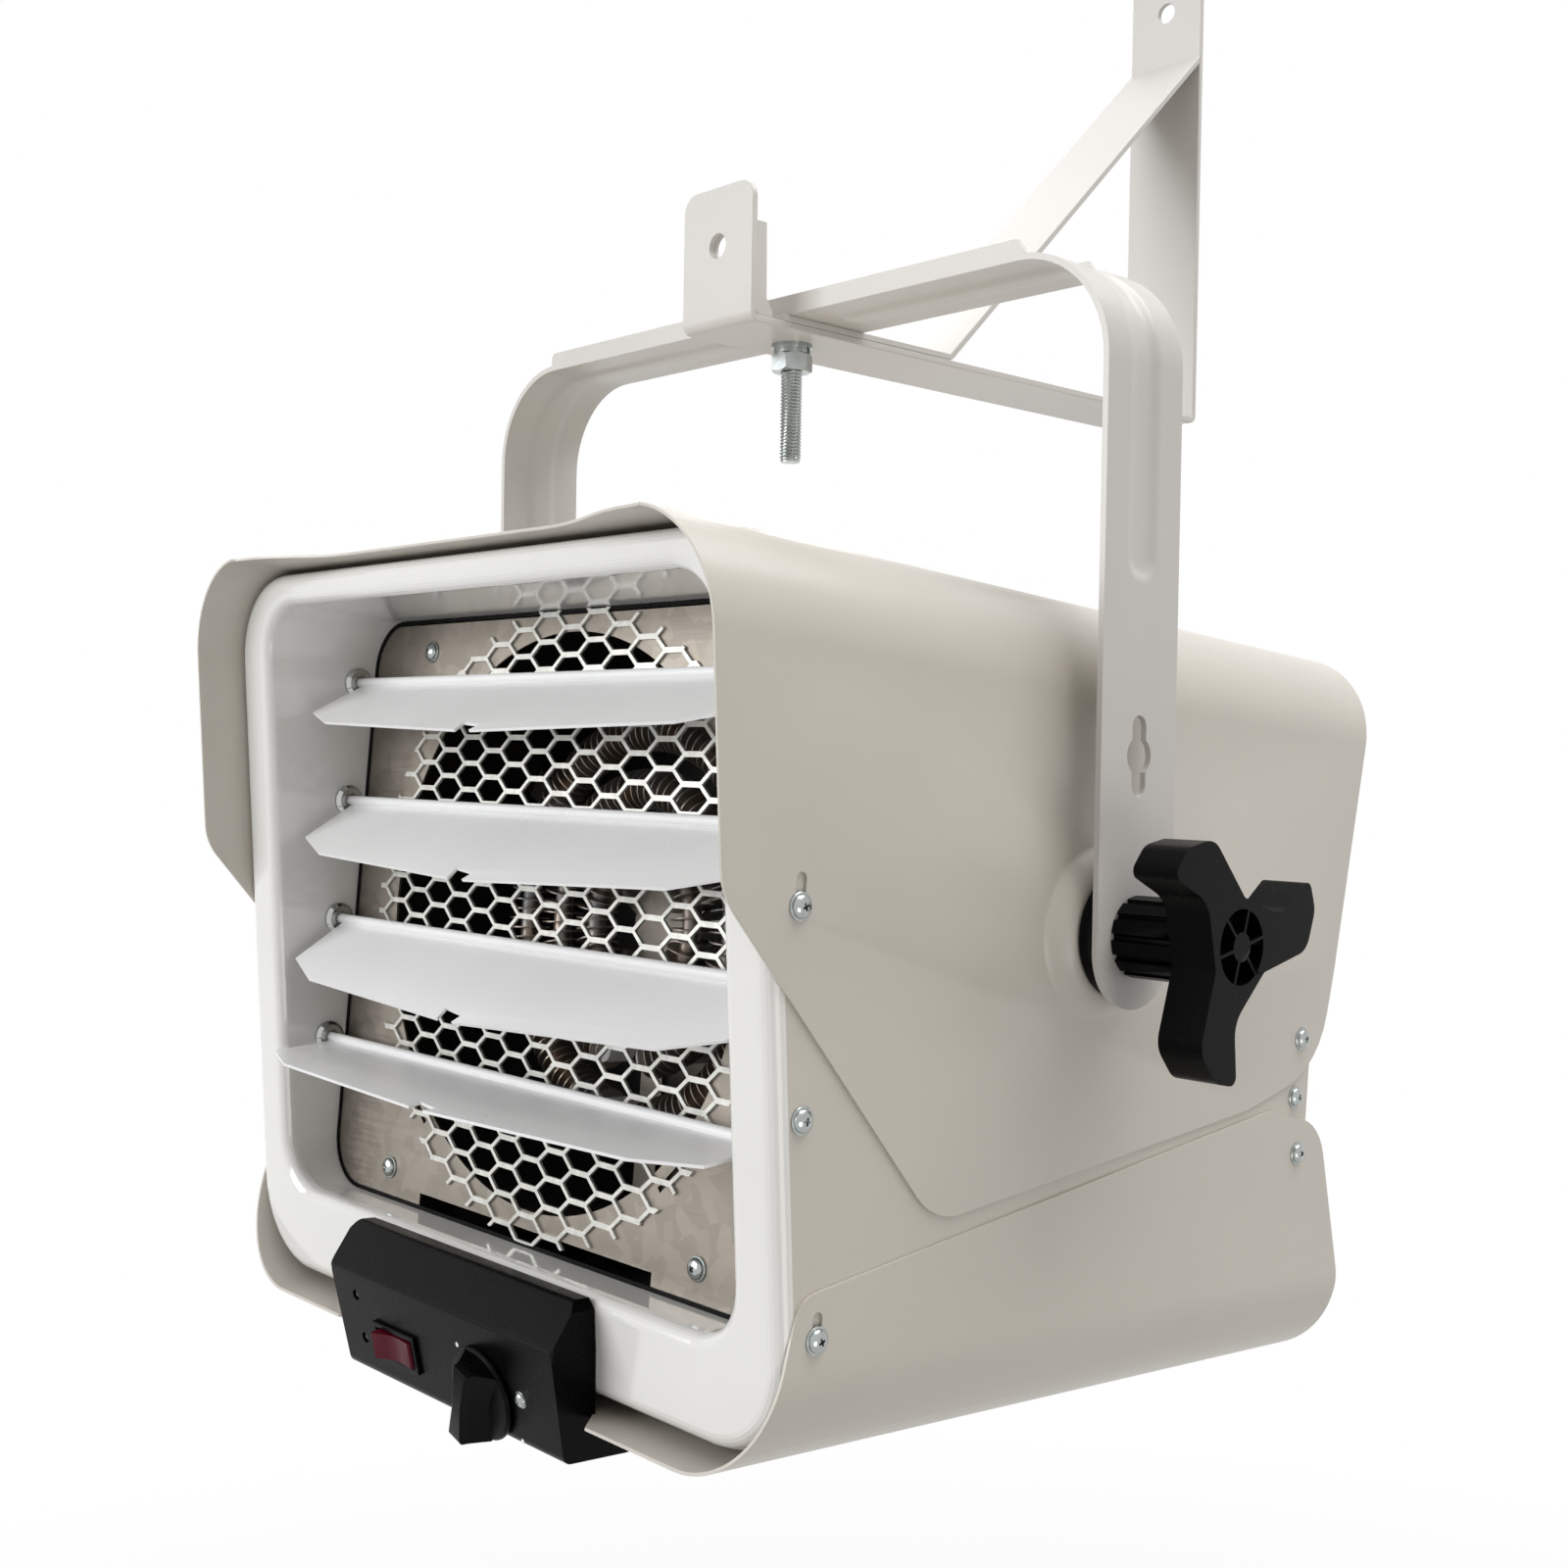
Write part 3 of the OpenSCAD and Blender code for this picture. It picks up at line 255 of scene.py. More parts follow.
def enamel(name, rgb, gloss, peel, depth, coat=0.0):
    """Sprayed enamel or powder coat: even colour, a faint orange peel and slightly uneven gloss."""
    made, tree, shader, where = begun(name, IOR=1.5, Coat_Weight=coat, Coat_Roughness=0.06)
    cloud = add(tree, "ShaderNodeTexNoise", [("Vector", where), ("Scale", per_mm(90))]).outputs["Fac"]
    dimples = add(tree, "ShaderNodeTexNoise", [("Vector", where), ("Scale", per_mm(peel))]).outputs["Fac"]
    tints = tinted(rgb, 0.975), tinted(rgb, 1.02)
    skin(tree, shader, cloud, tints, dimples, depth, cloud, gloss - 0.03, gloss + 0.03)
    return made


def moulded(name, rgb, gloss, depth):
    """Injection moulded plastic with a spark-eroded grain: a fine sparkle on curved ends."""
    made, tree, shader, where = begun(name, Specular_IOR_Level=0.06)
    cloud = add(tree, "ShaderNodeTexNoise", [("Vector", where), ("Scale", per_mm(30))]).outputs["Fac"]
    # the real grain is finer, and is drawn coarser so that it shows
    grain = [("Vector", where), ("Scale", per_mm(0.55)), ("Detail", 4), ("Roughness", 0.65)]
    fine = add(tree, "ShaderNodeTexNoise", grain).outputs["Fac"]
    tints = tinted(rgb, 0.9), tinted(rgb, 1.12)
    skin(tree, shader, cloud, tints, fine, depth, fine, gloss - 0.06, gloss + 0.1)
    return made


def plated(name, rgb, gloss, spread):
    """Bright plating: a metal whose gloss and tint drift a little from place to place."""
    made, tree, shader, where = begun(name, Metallic=1.0)
    drift = [("Vector", where), ("Scale", per_mm(6)), ("Detail", 3)]
    cloud = add(tree, "ShaderNodeTexNoise", drift).outputs["Fac"]
    # the real pits are finer, and are drawn coarser so that they show
    pits = add(tree, "ShaderNodeTexNoise", [("Vector", where), ("Scale", per_mm(0.8))]).outputs["Fac"]
    tints = tinted(rgb, 0.9), tinted(rgb, 1.08)
    skin(tree, shader, cloud, tints, pits, 0.01, cloud, gloss - spread, gloss + spread)
    return made


def rolled_sheet(name, rgb, gloss, spangle=7.0, metal=1.0):
    """Aluminised or galvanised sheet: rolling lines one way and faint crystal spangle."""
    made, tree, shader, where = begun(name, Metallic=metal)
    crystals = add(tree, "ShaderNodeTexVoronoi", [("Vector", where), ("Scale", per_mm(spangle))])
    tone = add(tree, "ShaderNodeSeparateColor", [("Color", crystals.outputs["Color"])]).outputs["Red"]
    along = add(tree, "ShaderNodeMapping", [("Vector", where), ("Scale", (0.04, 1, 1))]).outputs["Vector"]
    # real rolling lines are finer, and are drawn coarser so that they show
    rolling = [("Vector", along), ("Scale", per_mm(0.9)), ("Detail", 4), ("Roughness", 0.6)]
    lines = add(tree, "ShaderNodeTexNoise", rolling).outputs["Fac"]
    tints = tinted(rgb, 0.93), tinted(rgb, 1.07)
    skin(tree, shader, tone, tints, lines, 0.012, lines, gloss - 0.07, gloss + 0.09)
    return made


def heated_steel(name, rgb, gloss):
    """Steel that has been hot: brown and blue-grey patches over a dull metal."""
    made, tree, shader, where = begun(name, Metallic=0.85)
    blooms = [("Vector", where), ("Scale", per_mm(14)), ("Detail", 3)]
    patches = add(tree, "ShaderNodeTexNoise", blooms).outputs["Fac"]
    scale = [("Vector", where), ("Scale", per_mm(1.2)), ("Detail", 3)]
    flakes = add(tree, "ShaderNodeTexNoise", scale).outputs["Fac"]
    warm = (rgb[0] * 1.15, rgb[1] * 0.98, rgb[2] * 0.85, 1.0)
    cool = (rgb[0] * 0.75, rgb[1] * 0.8, rgb[2] * 0.9, 1.0)
    skin(tree, shader, patches, (warm, cool), flakes, 0.03, patches, gloss - 0.08, gloss + 0.1)
    return made


def glossy_solid(name, rgb, gloss, size, depth=0.01, coat=0.25):
    """Glazed or dyed hard parts: one colour with a soft drift under a smooth skin."""
    made, tree, shader, where = begun(name, Roughness=gloss, Specular_IOR_Level=0.12, Coat_Weight=coat)
    cloud = add(tree, "ShaderNodeTexNoise", [("Vector", where), ("Scale", per_mm(size))]).outputs["Fac"]
    waves = add(tree, "ShaderNodeTexNoise", [("Vector", where), ("Scale", per_mm(1))]).outputs["Fac"]
    skin(tree, shader, cloud, (tinted(rgb, 0.9), tinted(rgb, 1.08)), waves, depth)
    return made


FINISHES = {}


def make_finishes(colours):
    """Every finish by the name of the record's material slot."""
    FINISHES.update(
        # powder coat on sheet and strip steel: satin, warm grey, and finely dimpled near to
        hood_enamel=enamel("powder_coat_hood", colours.hood, 0.33, 2.4, 0.014),
        bracket_enamel=enamel("powder_coat_bracket", colours.bracket, 0.36, 2.0, 0.016),
        # the front frame is glossier, so that it mirrors the guard
        bezel_gloss=enamel("gloss_enamel_frame", colours.bezel, 0.13, 5.0, 0.004, coat=0.5),
        # stove enamel on thin aluminium: smoother and whiter than the powder coat
        louvre_enamel=enamel("stove_enamel_louvre", colours.louvre, 0.3, 3.0, 0.006),
        # zinc under a clear passivation: cool grey with a soft shine
        zinc=plated("bright_zinc_plating", colours.zinc, 0.2, 0.06),
        # moulded nylon: nearly black, with a broad sheen on rounded edges
        black_plastic=moulded("moulded_black_nylon", colours.black, 0.26, 0.07),
        # dyed through and unlit, so dark red with a sharp glint
        red_plastic=glossy_solid("moulded_red_polycarbonate", colours.rocker, 0.25, 8, coat=0),
        # unlit lamps: brown-black lenses that only glint
        lens_plastic=glossy_solid("smoked_lens", linear("#241312"), 0.12, 3),
        # hot-dipped aluminium: dull warm mirror with flat crystals
        plated_steel=rolled_sheet("aluminised_sheet", colours.panel, 0.42),
        # tube and fins that have glowed: straw and blue patches
        element_steel=heated_steel("heated_steel_sheath", colours.sheath, 0.42),
        # the blades are darker than bare aluminium: painted shade, so that they stay dark behind the guard
        fan_aluminium=rolled_sheet("aluminium_painted_shade", linear("#55544F"), 0.5, spangle=3.0),
        # dipped motor enamel: black with a coarse skin
        motor_enamel=enamel("black_motor_enamel", linear("#1B1B1D"), 0.42, 1.4, 0.03),
        # glazed insulators: cream and smooth
        ceramic=glossy_solid("glazed_steatite", linear("#EFE9DA"), 0.28, 12),
        # pressed eyelets keep a mirror finish
        bright_eyelet=plated("bright_nickel_eyelet", linear("#B4B6B3"), 0.1, 0.03),
        # the duct is near black with faint heat patches: painted shade, so that the guard's cells look black
        dark_duct=heated_steel("duct_painted_shade", linear("#23211F"), 0.55),
        # galvanised cells: pale grey with a half-metal shine
        guard=rolled_sheet("galvanised_guard", colours.guard, 0.33, spangle=4.0, metal=0.55),
        # screen printing ink: matt white
        print_white=glossy_solid("printed_white_ink", linear("#EDEDED"), 0.45, 2, 0.004),
    )


OWN_FINISH = {
    "honeycomb_guard": "guard",
    # the duct and the fan shroud are near black: painted shade behind the guard
    "air_duct": "dark_duct",
    "fan_shroud": "dark_duct",
    "louvre_eyelets": "bright_eyelet",
}


def finish_of(node):
    """A CAD node's finish: its own, or its slot's."""
    return FINISHES[OWN_FINISH.get(node, SLOT_OF[node])]


# ---- meshes ----


def placed(name, data):
    """A new object in the scene, at the origin."""
    made = bpy.data.objects.new(name, data)
    bpy.context.scene.collection.objects.link(made)
    return made


def piece(name, mesh, body, *replaced, slot):
    """A finished piece at the origin that rides on a body and may stand for CAD nodes."""
    made = placed(name, mesh)
    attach(made, body)
    if replaced:
        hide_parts(*replaced)


def smooth(mesh, angle=32):
    """Smooth shading, with the edges above this angle kept sharp."""
    for face in mesh.polygons:
        face.use_smooth = True
    mesh.set_sharp_from_angle(angle=math.radians(angle))


def mesh_from(bm, name, material=None, matrix=None, angle=32):
    """A smooth mesh from bm, with its faces outwards, put in place by the matrix."""
    mesh = bpy.data.meshes.new(name)
    if matrix is not None:
        bm.transform(matrix)
    bmesh.ops.recalc_face_normals(bm, faces=bm.faces)
    bm.to_mesh(mesh)
    bm.free()
    smooth(mesh, angle)
    if material:
        mesh.materials.append(material)
    return mesh


def ring(bm, points):
    """New vertices at these points, given in millimetres."""
    return [bm.verts.new(Vector(point) * MM) for point in points]


def walls(bm, rings, capped=True):
    """Faces between each ring and the next, and over the first and last if capped."""
    for low, high in zip(rings, rings[1:]):
        for k in range(len(low)):
            j = (k + 1) % len(low)
            bm.faces.new((low[k], low[j], high[j], high[k]))
    if capped:
        bm.faces.new(rings[0])
        bm.faces.new(rings[-1])


def revolve(bm, profile, matrix=None, steps=32):
    """Turns a profile of (radius, height) pairs in millimetres about Z; ends on the axis are closed."""
    rings = []
    for radius, height in profile:
        if radius == 0:
            rings.append(ring(bm, [(0, 0, height)]))
            continue
        turn = [2 * math.pi * i / steps for i in range(steps)]
        rings.append(ring(bm, [(radius * math.cos(a), radius * math.sin(a), height) for a in turn]))
    for low, high in zip(rings, rings[1:]):
        for i in range(steps):
            j = (i + 1) % steps
            corners = [low[i % len(low)], low[j % len(low)], high[j % len(high)], high[i % len(high)]]
            unique = list(dict.fromkeys(corners))
            if len(unique) > 2:
                bm.faces.new(unique)
    if matrix is not None:
        made = [v for verts in rings for v in verts]
        bmesh.ops.transform(bm, matrix=matrix, verts=made)


def round_edges(raw, width, limit, steps=2):
    """Rounds an object's edges that are sharper than the limit in degrees."""
    edge = raw.modifiers.new("edge", "BEVEL")
    edge.width = width
    edge.segments = steps
    edge.limit_method = "ANGLE"
    edge.angle_limit = math.radians(limit)
    edge.harden_normals = True


def cut_or_joined(raw, operand, way):
    """Joins another solid to an object or cuts it away."""
    step = raw.modifiers.new(way, "BOOLEAN")
    step.object = operand
    step.operation = way
    step.solver = "EXACT"
    step.use_self = True


def softened(node, width, steps=2):
    """A copy of a CAD node with its sharp edges rounded, which stands for the node."""
    bm = bmesh.new()
    bm.from_mesh(NODES[node].data)
    bmesh.ops.remove_doubles(bm, verts=bm.verts, dist=2e-6)
    bmesh.ops.dissolve_limit(bm, angle_limit=math.radians(0.4), verts=bm.verts, edges=bm.edges)
    mesh = bpy.data.meshes.new(node + "_soft")
    bm.to_mesh(mesh)
    bm.free()
    raw = placed("raw", mesh)
    round_edges(raw, width, 38, steps)
    smooth(mesh, 38)
    done = plain_mesh(raw, node + "_rounded")
    done.materials.clear()
    done.materials.append(finish_of(node))
    piece(node + "_rounded", done, BODY_OF[node], node, slot=SLOT_OF[node])


def plain_mesh(raw, name):
    """The evaluated mesh of an object, which is then removed."""
    view = bpy.context.evaluated_depsgraph_get()
    view.update()
    mesh = bpy.data.meshes.new_from_object(raw.evaluated_get(view))
    mesh.name = name
    old = raw.data
    bpy.data.objects.remove(raw)
    if old.users == 0:
        bpy.data.meshes.remove(old)
    return mesh


def tree_with(name, sockets):
    """A geometry tree with named inputs, and the identifiers of those inputs."""
    tree = bpy.data.node_groups.new(name, "GeometryNodeTree")
    tree.interface.new_socket(name="Geometry", in_out="INPUT", socket_type="NodeSocketGeometry")
    for label, kind in sockets:
        tree.interface.new_socket(name=label, in_out="INPUT", socket_type=kind)
    tree.interface.new_socket(name="Geometry", in_out="OUTPUT", socket_type="NodeSocketGeometry")
    keys = {s.name: s.identifier for s in tree.interface.items_tree if s.in_out == "INPUT"}
    return tree, keys


def grown(name, mesh, tree, keys, values):
    """Runs a geometry tree on a mesh and gives back the plain mesh."""
    raw = placed(name, mesh)
    step = raw.modifiers.new("grow", "NODES")
    step.node_group = tree
    for label, value in values.items():
        step[keys[label]] = value
    return plain_mesh(raw, name)


def close_tree(tree, geometry, material):
    """Ends a tree in plain geometry with its material."""
    real = add(tree, "GeometryNodeRealizeInstances", [("Geometry", geometry)])
    painted = add(tree, "GeometryNodeSetMaterial", [("Geometry", real.outputs[0]), ("Material", material)])
    out = add(tree, "NodeGroupOutput")
    tree.links.new(painted.outputs[0], out.inputs[0])


# ---- screws ----


def screw_mesh():
    """A pan-head screw with a cross recess and a washer, its seat at height 0."""
    head = 4.1
    washer = 4.9
    arc = [math.radians(8 * i) for i in range(11)]
    profile = [(0, -6), (1.65, -6), (1.65, 0), (washer, 0), (washer, 0.55), (washer - 0.25, 0.75)]
    profile += [(head, 0.78)] + [(head * math.cos(a), 0.9 + 2.1 * math.sin(a)) for a in arc] + [(0, 3.02)]
    bm = bmesh.new()
    revolve(bm, profile, steps=28)
    raw = placed("screw", mesh_from(bm, "screw", angle=34))
    recess = bmesh.new()
    for turn in (0, 90):
        arm = bmesh.ops.create_cube(recess, size=1)["verts"]
        bmesh.ops.scale(recess, vec=(4.2 * MM, 0.85 * MM, 3.2 * MM), verts=arm)
        for v in arm:
            if v.co.z < 0:
                v.co.x *= 0.35
        bmesh.ops.translate(recess, vec=(0, 0, 2.9 * MM), verts=arm)
        spin = Matrix.Rotation(math.radians(turn), 3, "Z")
        bmesh.ops.rotate(recess, cent=(0, 0, 0), matrix=spin, verts=arm)
    cutter_mesh = bpy.data.meshes.new("recess")
    recess.to_mesh(cutter_mesh)
    recess.free()
    cutter = placed("recess", cutter_mesh)
    cut_or_joined(raw, cutter, "DIFFERENCE")
    made = plain_mesh(raw, "screw_master")
    bpy.data.objects.remove(cutter)
    smooth(made, 34)
    return made


def screw_tree(material):
    """Sets a screw on each point, its axis along the point's aim and turned by its own angle."""
    tree, keys = tree_with("place_screws", [("Screw", "NodeSocketObject"), ("Size", "NodeSocketFloat")])
    given = add(tree, "NodeGroupInput")
    aim = add(tree, "GeometryNodeInputNamedAttribute", [("Name", "aim")], data_type="FLOAT_VECTOR")
    turn = add(tree, "GeometryNodeInputNamedAttribute", [("Name", "turn")], data_type="FLOAT")
    way = [("Vector", aim.outputs["Attribute"])]
    stand = add(tree, "FunctionNodeAlignRotationToVector", way, axis="Z")
    spin = add(tree, "ShaderNodeCombineXYZ", [("Z", turn.outputs["Attribute"])])
    spun = add(tree, "FunctionNodeEulerToRotation", [("Euler", spin.outputs[0])])
    turns = [("Rotation", stand.outputs[0]), ("Rotate By", spun.outputs[0])]
    both = add(tree, "FunctionNodeRotateRotation", turns, rotation_space="LOCAL")
    shape = add(tree, "GeometryNodeObjectInfo", [("Object", given.outputs["Screw"])])
    seated = add(
        tree,
        "GeometryNodeInstanceOnPoints",
        [
            ("Points", given.outputs["Geometry"]),
            ("Instance", shape.outputs["Geometry"]),
            ("Rotation", both.outputs[0]),
            ("Scale", given.outputs["Size"]),
        ],
    )
    close_tree(tree, seated.outputs[0], material)
    return tree, keys


def screws_at(name, places, size, body, *replaced):
    """Screws on places, each a point in metres, a direction and a turn in degrees."""
    master = placed("screw_master", screw_mesh())
    seats = bpy.data.meshes.new(name)
    seats.from_pydata([p for p, _, _ in places], [], [])
    seats.attributes.new("aim", "FLOAT_VECTOR", "POINT")
    seats.attributes.new("turn", "FLOAT", "POINT")
    for i, (_, way, degrees) in enumerate(places):
        seats.attributes["aim"].data[i].vector = way
        seats.attributes["turn"].data[i].value = math.radians(degrees)
    tree, keys = screw_tree(FINISHES["zinc"])
    mesh = grown(name, seats, tree, keys, {"Screw": master, "Size": size})
    bpy.data.objects.remove(master)
    smooth(mesh, 34)
    piece(name, mesh, body, *replaced, slot="zinc")


# ---- elements ----


def finned_tree(material):
    """A tube bent to an arc with round fins threaded on it."""
    sizes = ["Ring", "Start", "Sweep", "Gap", "Fin radius", "Fin thickness", "Tube radius"]
    tree, keys = tree_with("finned_tube", [(s, "NodeSocketFloat") for s in sizes])
    given = add(tree, "NodeGroupInput").outputs
    arc = add(
        tree,
        "GeometryNodeCurveArc",
        [
            ("Resolution", 96),
            ("Radius", given["Ring"]),
            ("Start Angle", given["Start"]),
            ("Sweep Angle", given["Sweep"]),
        ],
    )
    section = add(
        tree, "GeometryNodeCurvePrimitiveCircle", [("Resolution", 14), ("Radius", given["Tube radius"])]
    )
    tube = add(
        tree,
        "GeometryNodeCurveToMesh",
        [("Curve", arc.outputs[0]), ("Profile Curve", section.outputs[0]), ("Fill Caps", True)],
    )
    spacing = [("Curve", arc.outputs[0]), ("Length", given["Gap"])]
    dots = add(tree, "GeometryNodeCurveToPoints", spacing, mode="LENGTH")
    fin = add(
        tree,
        "GeometryNodeMeshCylinder",
        [("Vertices", 22), ("Radius", given["Fin radius"]), ("Depth", given["Fin thickness"])],
        fill_type="NGON",
    )
    fins = add(
        tree,
        "GeometryNodeInstanceOnPoints",
        [
            ("Points", dots.outputs["Points"]),
            ("Instance", fin.outputs["Mesh"]),
            ("Rotation", dots.outputs["Rotation"]),
        ],
    )
    joined = add(tree, "GeometryNodeJoinGeometry")
    tree.links.new(tube.outputs[0], joined.inputs[0])
    tree.links.new(fins.outputs[0], joined.inputs[0])
    close_tree(tree, joined.outputs[0], material)
    return tree, keys


# ---- operators ----


# name, place from the heater's middle, width and height in metres, watts and tint
LAMPS = (
    ("key_softbox", (-1.3, -2.8, 0.9), (2.2, 1.6), 71, (0.97, 0.985, 1)),
    ("top_softbox", (0.8, 0.8, 3.0), (2.8, 2.6), 98, (0.98, 0.99, 1)),
    ("side_fill", (2.3, -0.4, -0.9), (1.2, 1.2), 11, (1, 0.97, 0.93)),
    ("rear_glint", (-1.9, 1.3, 1.5), (1.5, 1.0), 26, (1, 1, 1)),
)
WHITE = (1, 1, 1, 1)


class HEATER_OT_stage(bpy.types.Operator):
    """Floor, backdrop, lamps and the camera at the photograph's angle"""

    bl_idname = "heater.stage"
    bl_label = "Stage"

    def execute(self, context):
        self.make_floor(context.scene.heater_colours.floor)
        self.make_world(context.scene)
        self.make_lamps()
        self.make_camera(context.scene)
        return {"FINISHED"}

    def make_floor(self, rgb):
        """A level plane far enough below the heater for a soft shadow."""
        bm = bmesh.new()
        bmesh.ops.create_grid(bm, x_segments=1, y_segments=1, size=9)
        level = Matrix.Translation((0, -0.4, -1.75))
        placed("floor", mesh_from(bm, "floor", self.floor_material(rgb), level))

    def floor_material(self, rgb):
        """Pale floor that the camera sees as nearly white, with the heater's shadow near it."""
        made = bpy.data.materials.new("pale_floor")
        tree = emptied(made)
        rays = add(tree, "ShaderNodeLightPath").outputs
        kinds = [(0, rays["Is Camera Ray"]), (1, rays["Is Glossy Ray"])]
        seen = add(tree, "ShaderNodeMath", kinds, operation="MAXIMUM")
        where = add(tree, "ShaderNodeTexCoord").outputs["Object"]
        flat = add(tree, "ShaderNodeVectorMath", [(0, where), (1, (1, 1, 0))], operation="MULTIPLY")
        far = add(tree, "ShaderNodeVectorMath", [(0, flat.outputs[0])], operation="LENGTH").outputs["Value"]
        reach = [("Value", far), ("From Min", 0.6), ("From Max", 2.6), ("To Min", 0.8), ("To Max", 1.0)]
        fade = add(tree, "ShaderNodeMapRange", reach)
        share = [(0, seen.outputs[0]), (1, fade.outputs[0])]
        blend = add(tree, "ShaderNodeMath", share, operation="MULTIPLY")
        paint = add(tree, "ShaderNodeBsdfDiffuse", [("Color", tinted(rgb))])
        white = add(tree, "ShaderNodeEmission", [("Color", WHITE), ("Strength", 1.0)])
        both = [(0, blend.outputs[0]), (1, paint.outputs[0]), (2, white.outputs[0])]
        mix = add(tree, "ShaderNodeMixShader", both)
        add(tree, "ShaderNodeOutputMaterial", [("Surface", mix.outputs[0])])
        return made

    def make_world(self, scene):
        """White to the eye and in reflections, and a dim warm light on the heater."""
        scene.world = bpy.data.worlds.new("soft_studio")
        tree = emptied(scene.world)
        rays = add(tree, "ShaderNodeLightPath").outputs
        kinds = [(0, rays["Is Glossy Ray"]), (1, rays["Is Transmission Ray"])]
        clear = add(tree, "ShaderNodeMath", kinds, operation="MAXIMUM")
        kinds = [(0, rays["Is Camera Ray"]), (1, clear.outputs[0])]
        seen = add(tree, "ShaderNodeMath", kinds, operation="MAXIMUM")
        dim = add(tree, "ShaderNodeBackground", [("Color", (1.0, 0.975, 0.93, 1)), ("Strength", 0.5)])
        white = add(tree, "ShaderNodeBackground", [("Color", WHITE), ("Strength", 1.0)])
        both = [(0, seen.outputs[0]), (1, dim.outputs[0]), (2, white.outputs[0])]
        mix = add(tree, "ShaderNodeMixShader", both)
        add(tree, "ShaderNodeOutputWorld", [("Surface", mix.outputs[0])])

    def make_lamps(self):
        """Soft area lamps, all turned to the heater's middle."""
        aim = mm(0, -40, -30)
        for name, place, size, watts, tint in LAMPS:
            lamp = bpy.data.lights.new(name, "AREA")
            lamp.shape = "RECTANGLE"
            lamp.size, lamp.size_y = size
            lamp.energy = watts
            lamp.color = tint
            holder = placed(name, lamp)
            at = aim + Vector(place)
            holder.location = at
            holder.rotation_mode = "QUATERNION"
            holder.rotation_quaternion = (aim - at).to_track_quat("-Z", "Y")

    def make_camera(self, scene):
        """The photograph's own view, from the place and lens that were solved from it."""
        yaw, pitch, roll = (math.radians(a) for a in CAMERA_TURN)
        ahead = Vector((-math.sin(yaw) * math.cos(pitch), math.cos(yaw) * math.cos(pitch), math.sin(pitch)))
        right = Vector((math.cos(yaw), math.sin(yaw), 0))
        above = right.cross(ahead)
        side = math.cos(roll) * right + math.sin(roll) * above
        top = math.cos(roll) * above - math.sin(roll) * right
        lens = bpy.data.cameras.new("camera")
        lens.sensor_width = SENSOR
        lens.lens = SENSOR * FOCAL_PIXELS / PHOTO_PIXELS
        lens.clip_start = 0.05
        lens.clip_end = 60
        pose = Matrix((side, top, -ahead)).transposed().to_4x4()
        pose.translation = mm(*CAMERA_AT)
        scene.camera = placed("camera", lens)
        scene.camera.matrix_world = pose
        scene.view_settings.view_transform = "Standard"


class HEATER_OT_finishes(bpy.types.Operator):
    """Every CAD node's own finish"""

    bl_idname = "heater.finishes"
    bl_label = "Finishes"

    def execute(self, context):
        make_finishes(context.scene.heater_colours)
        for node, made in NODES.items():
            made.data.materials.clear()
            made.data.materials.append(finish_of(node))
        return {"FINISHED"}


class HEATER_OT_sheet_edges(bpy.types.Operator):
    """Rounded edges on the sheet and strip parts"""

    bl_idname = "heater.sheet_edges"
    bl_label = "Sheet and strip edges"

    def execute(self, context):
        sizes = context.scene.heater_sizes
        for node in ("top_hood", "bottom_hood", "louvre_1", "louvre_2", "louvre_3", "louvre_4"):
            softened(node, sizes.sheet_edge)
        for node in ("ceiling_bracket", "bracket_brace", "tab_stiffener"):
            softened(node, sizes.strip_edge)
        return {"FINISHED"}


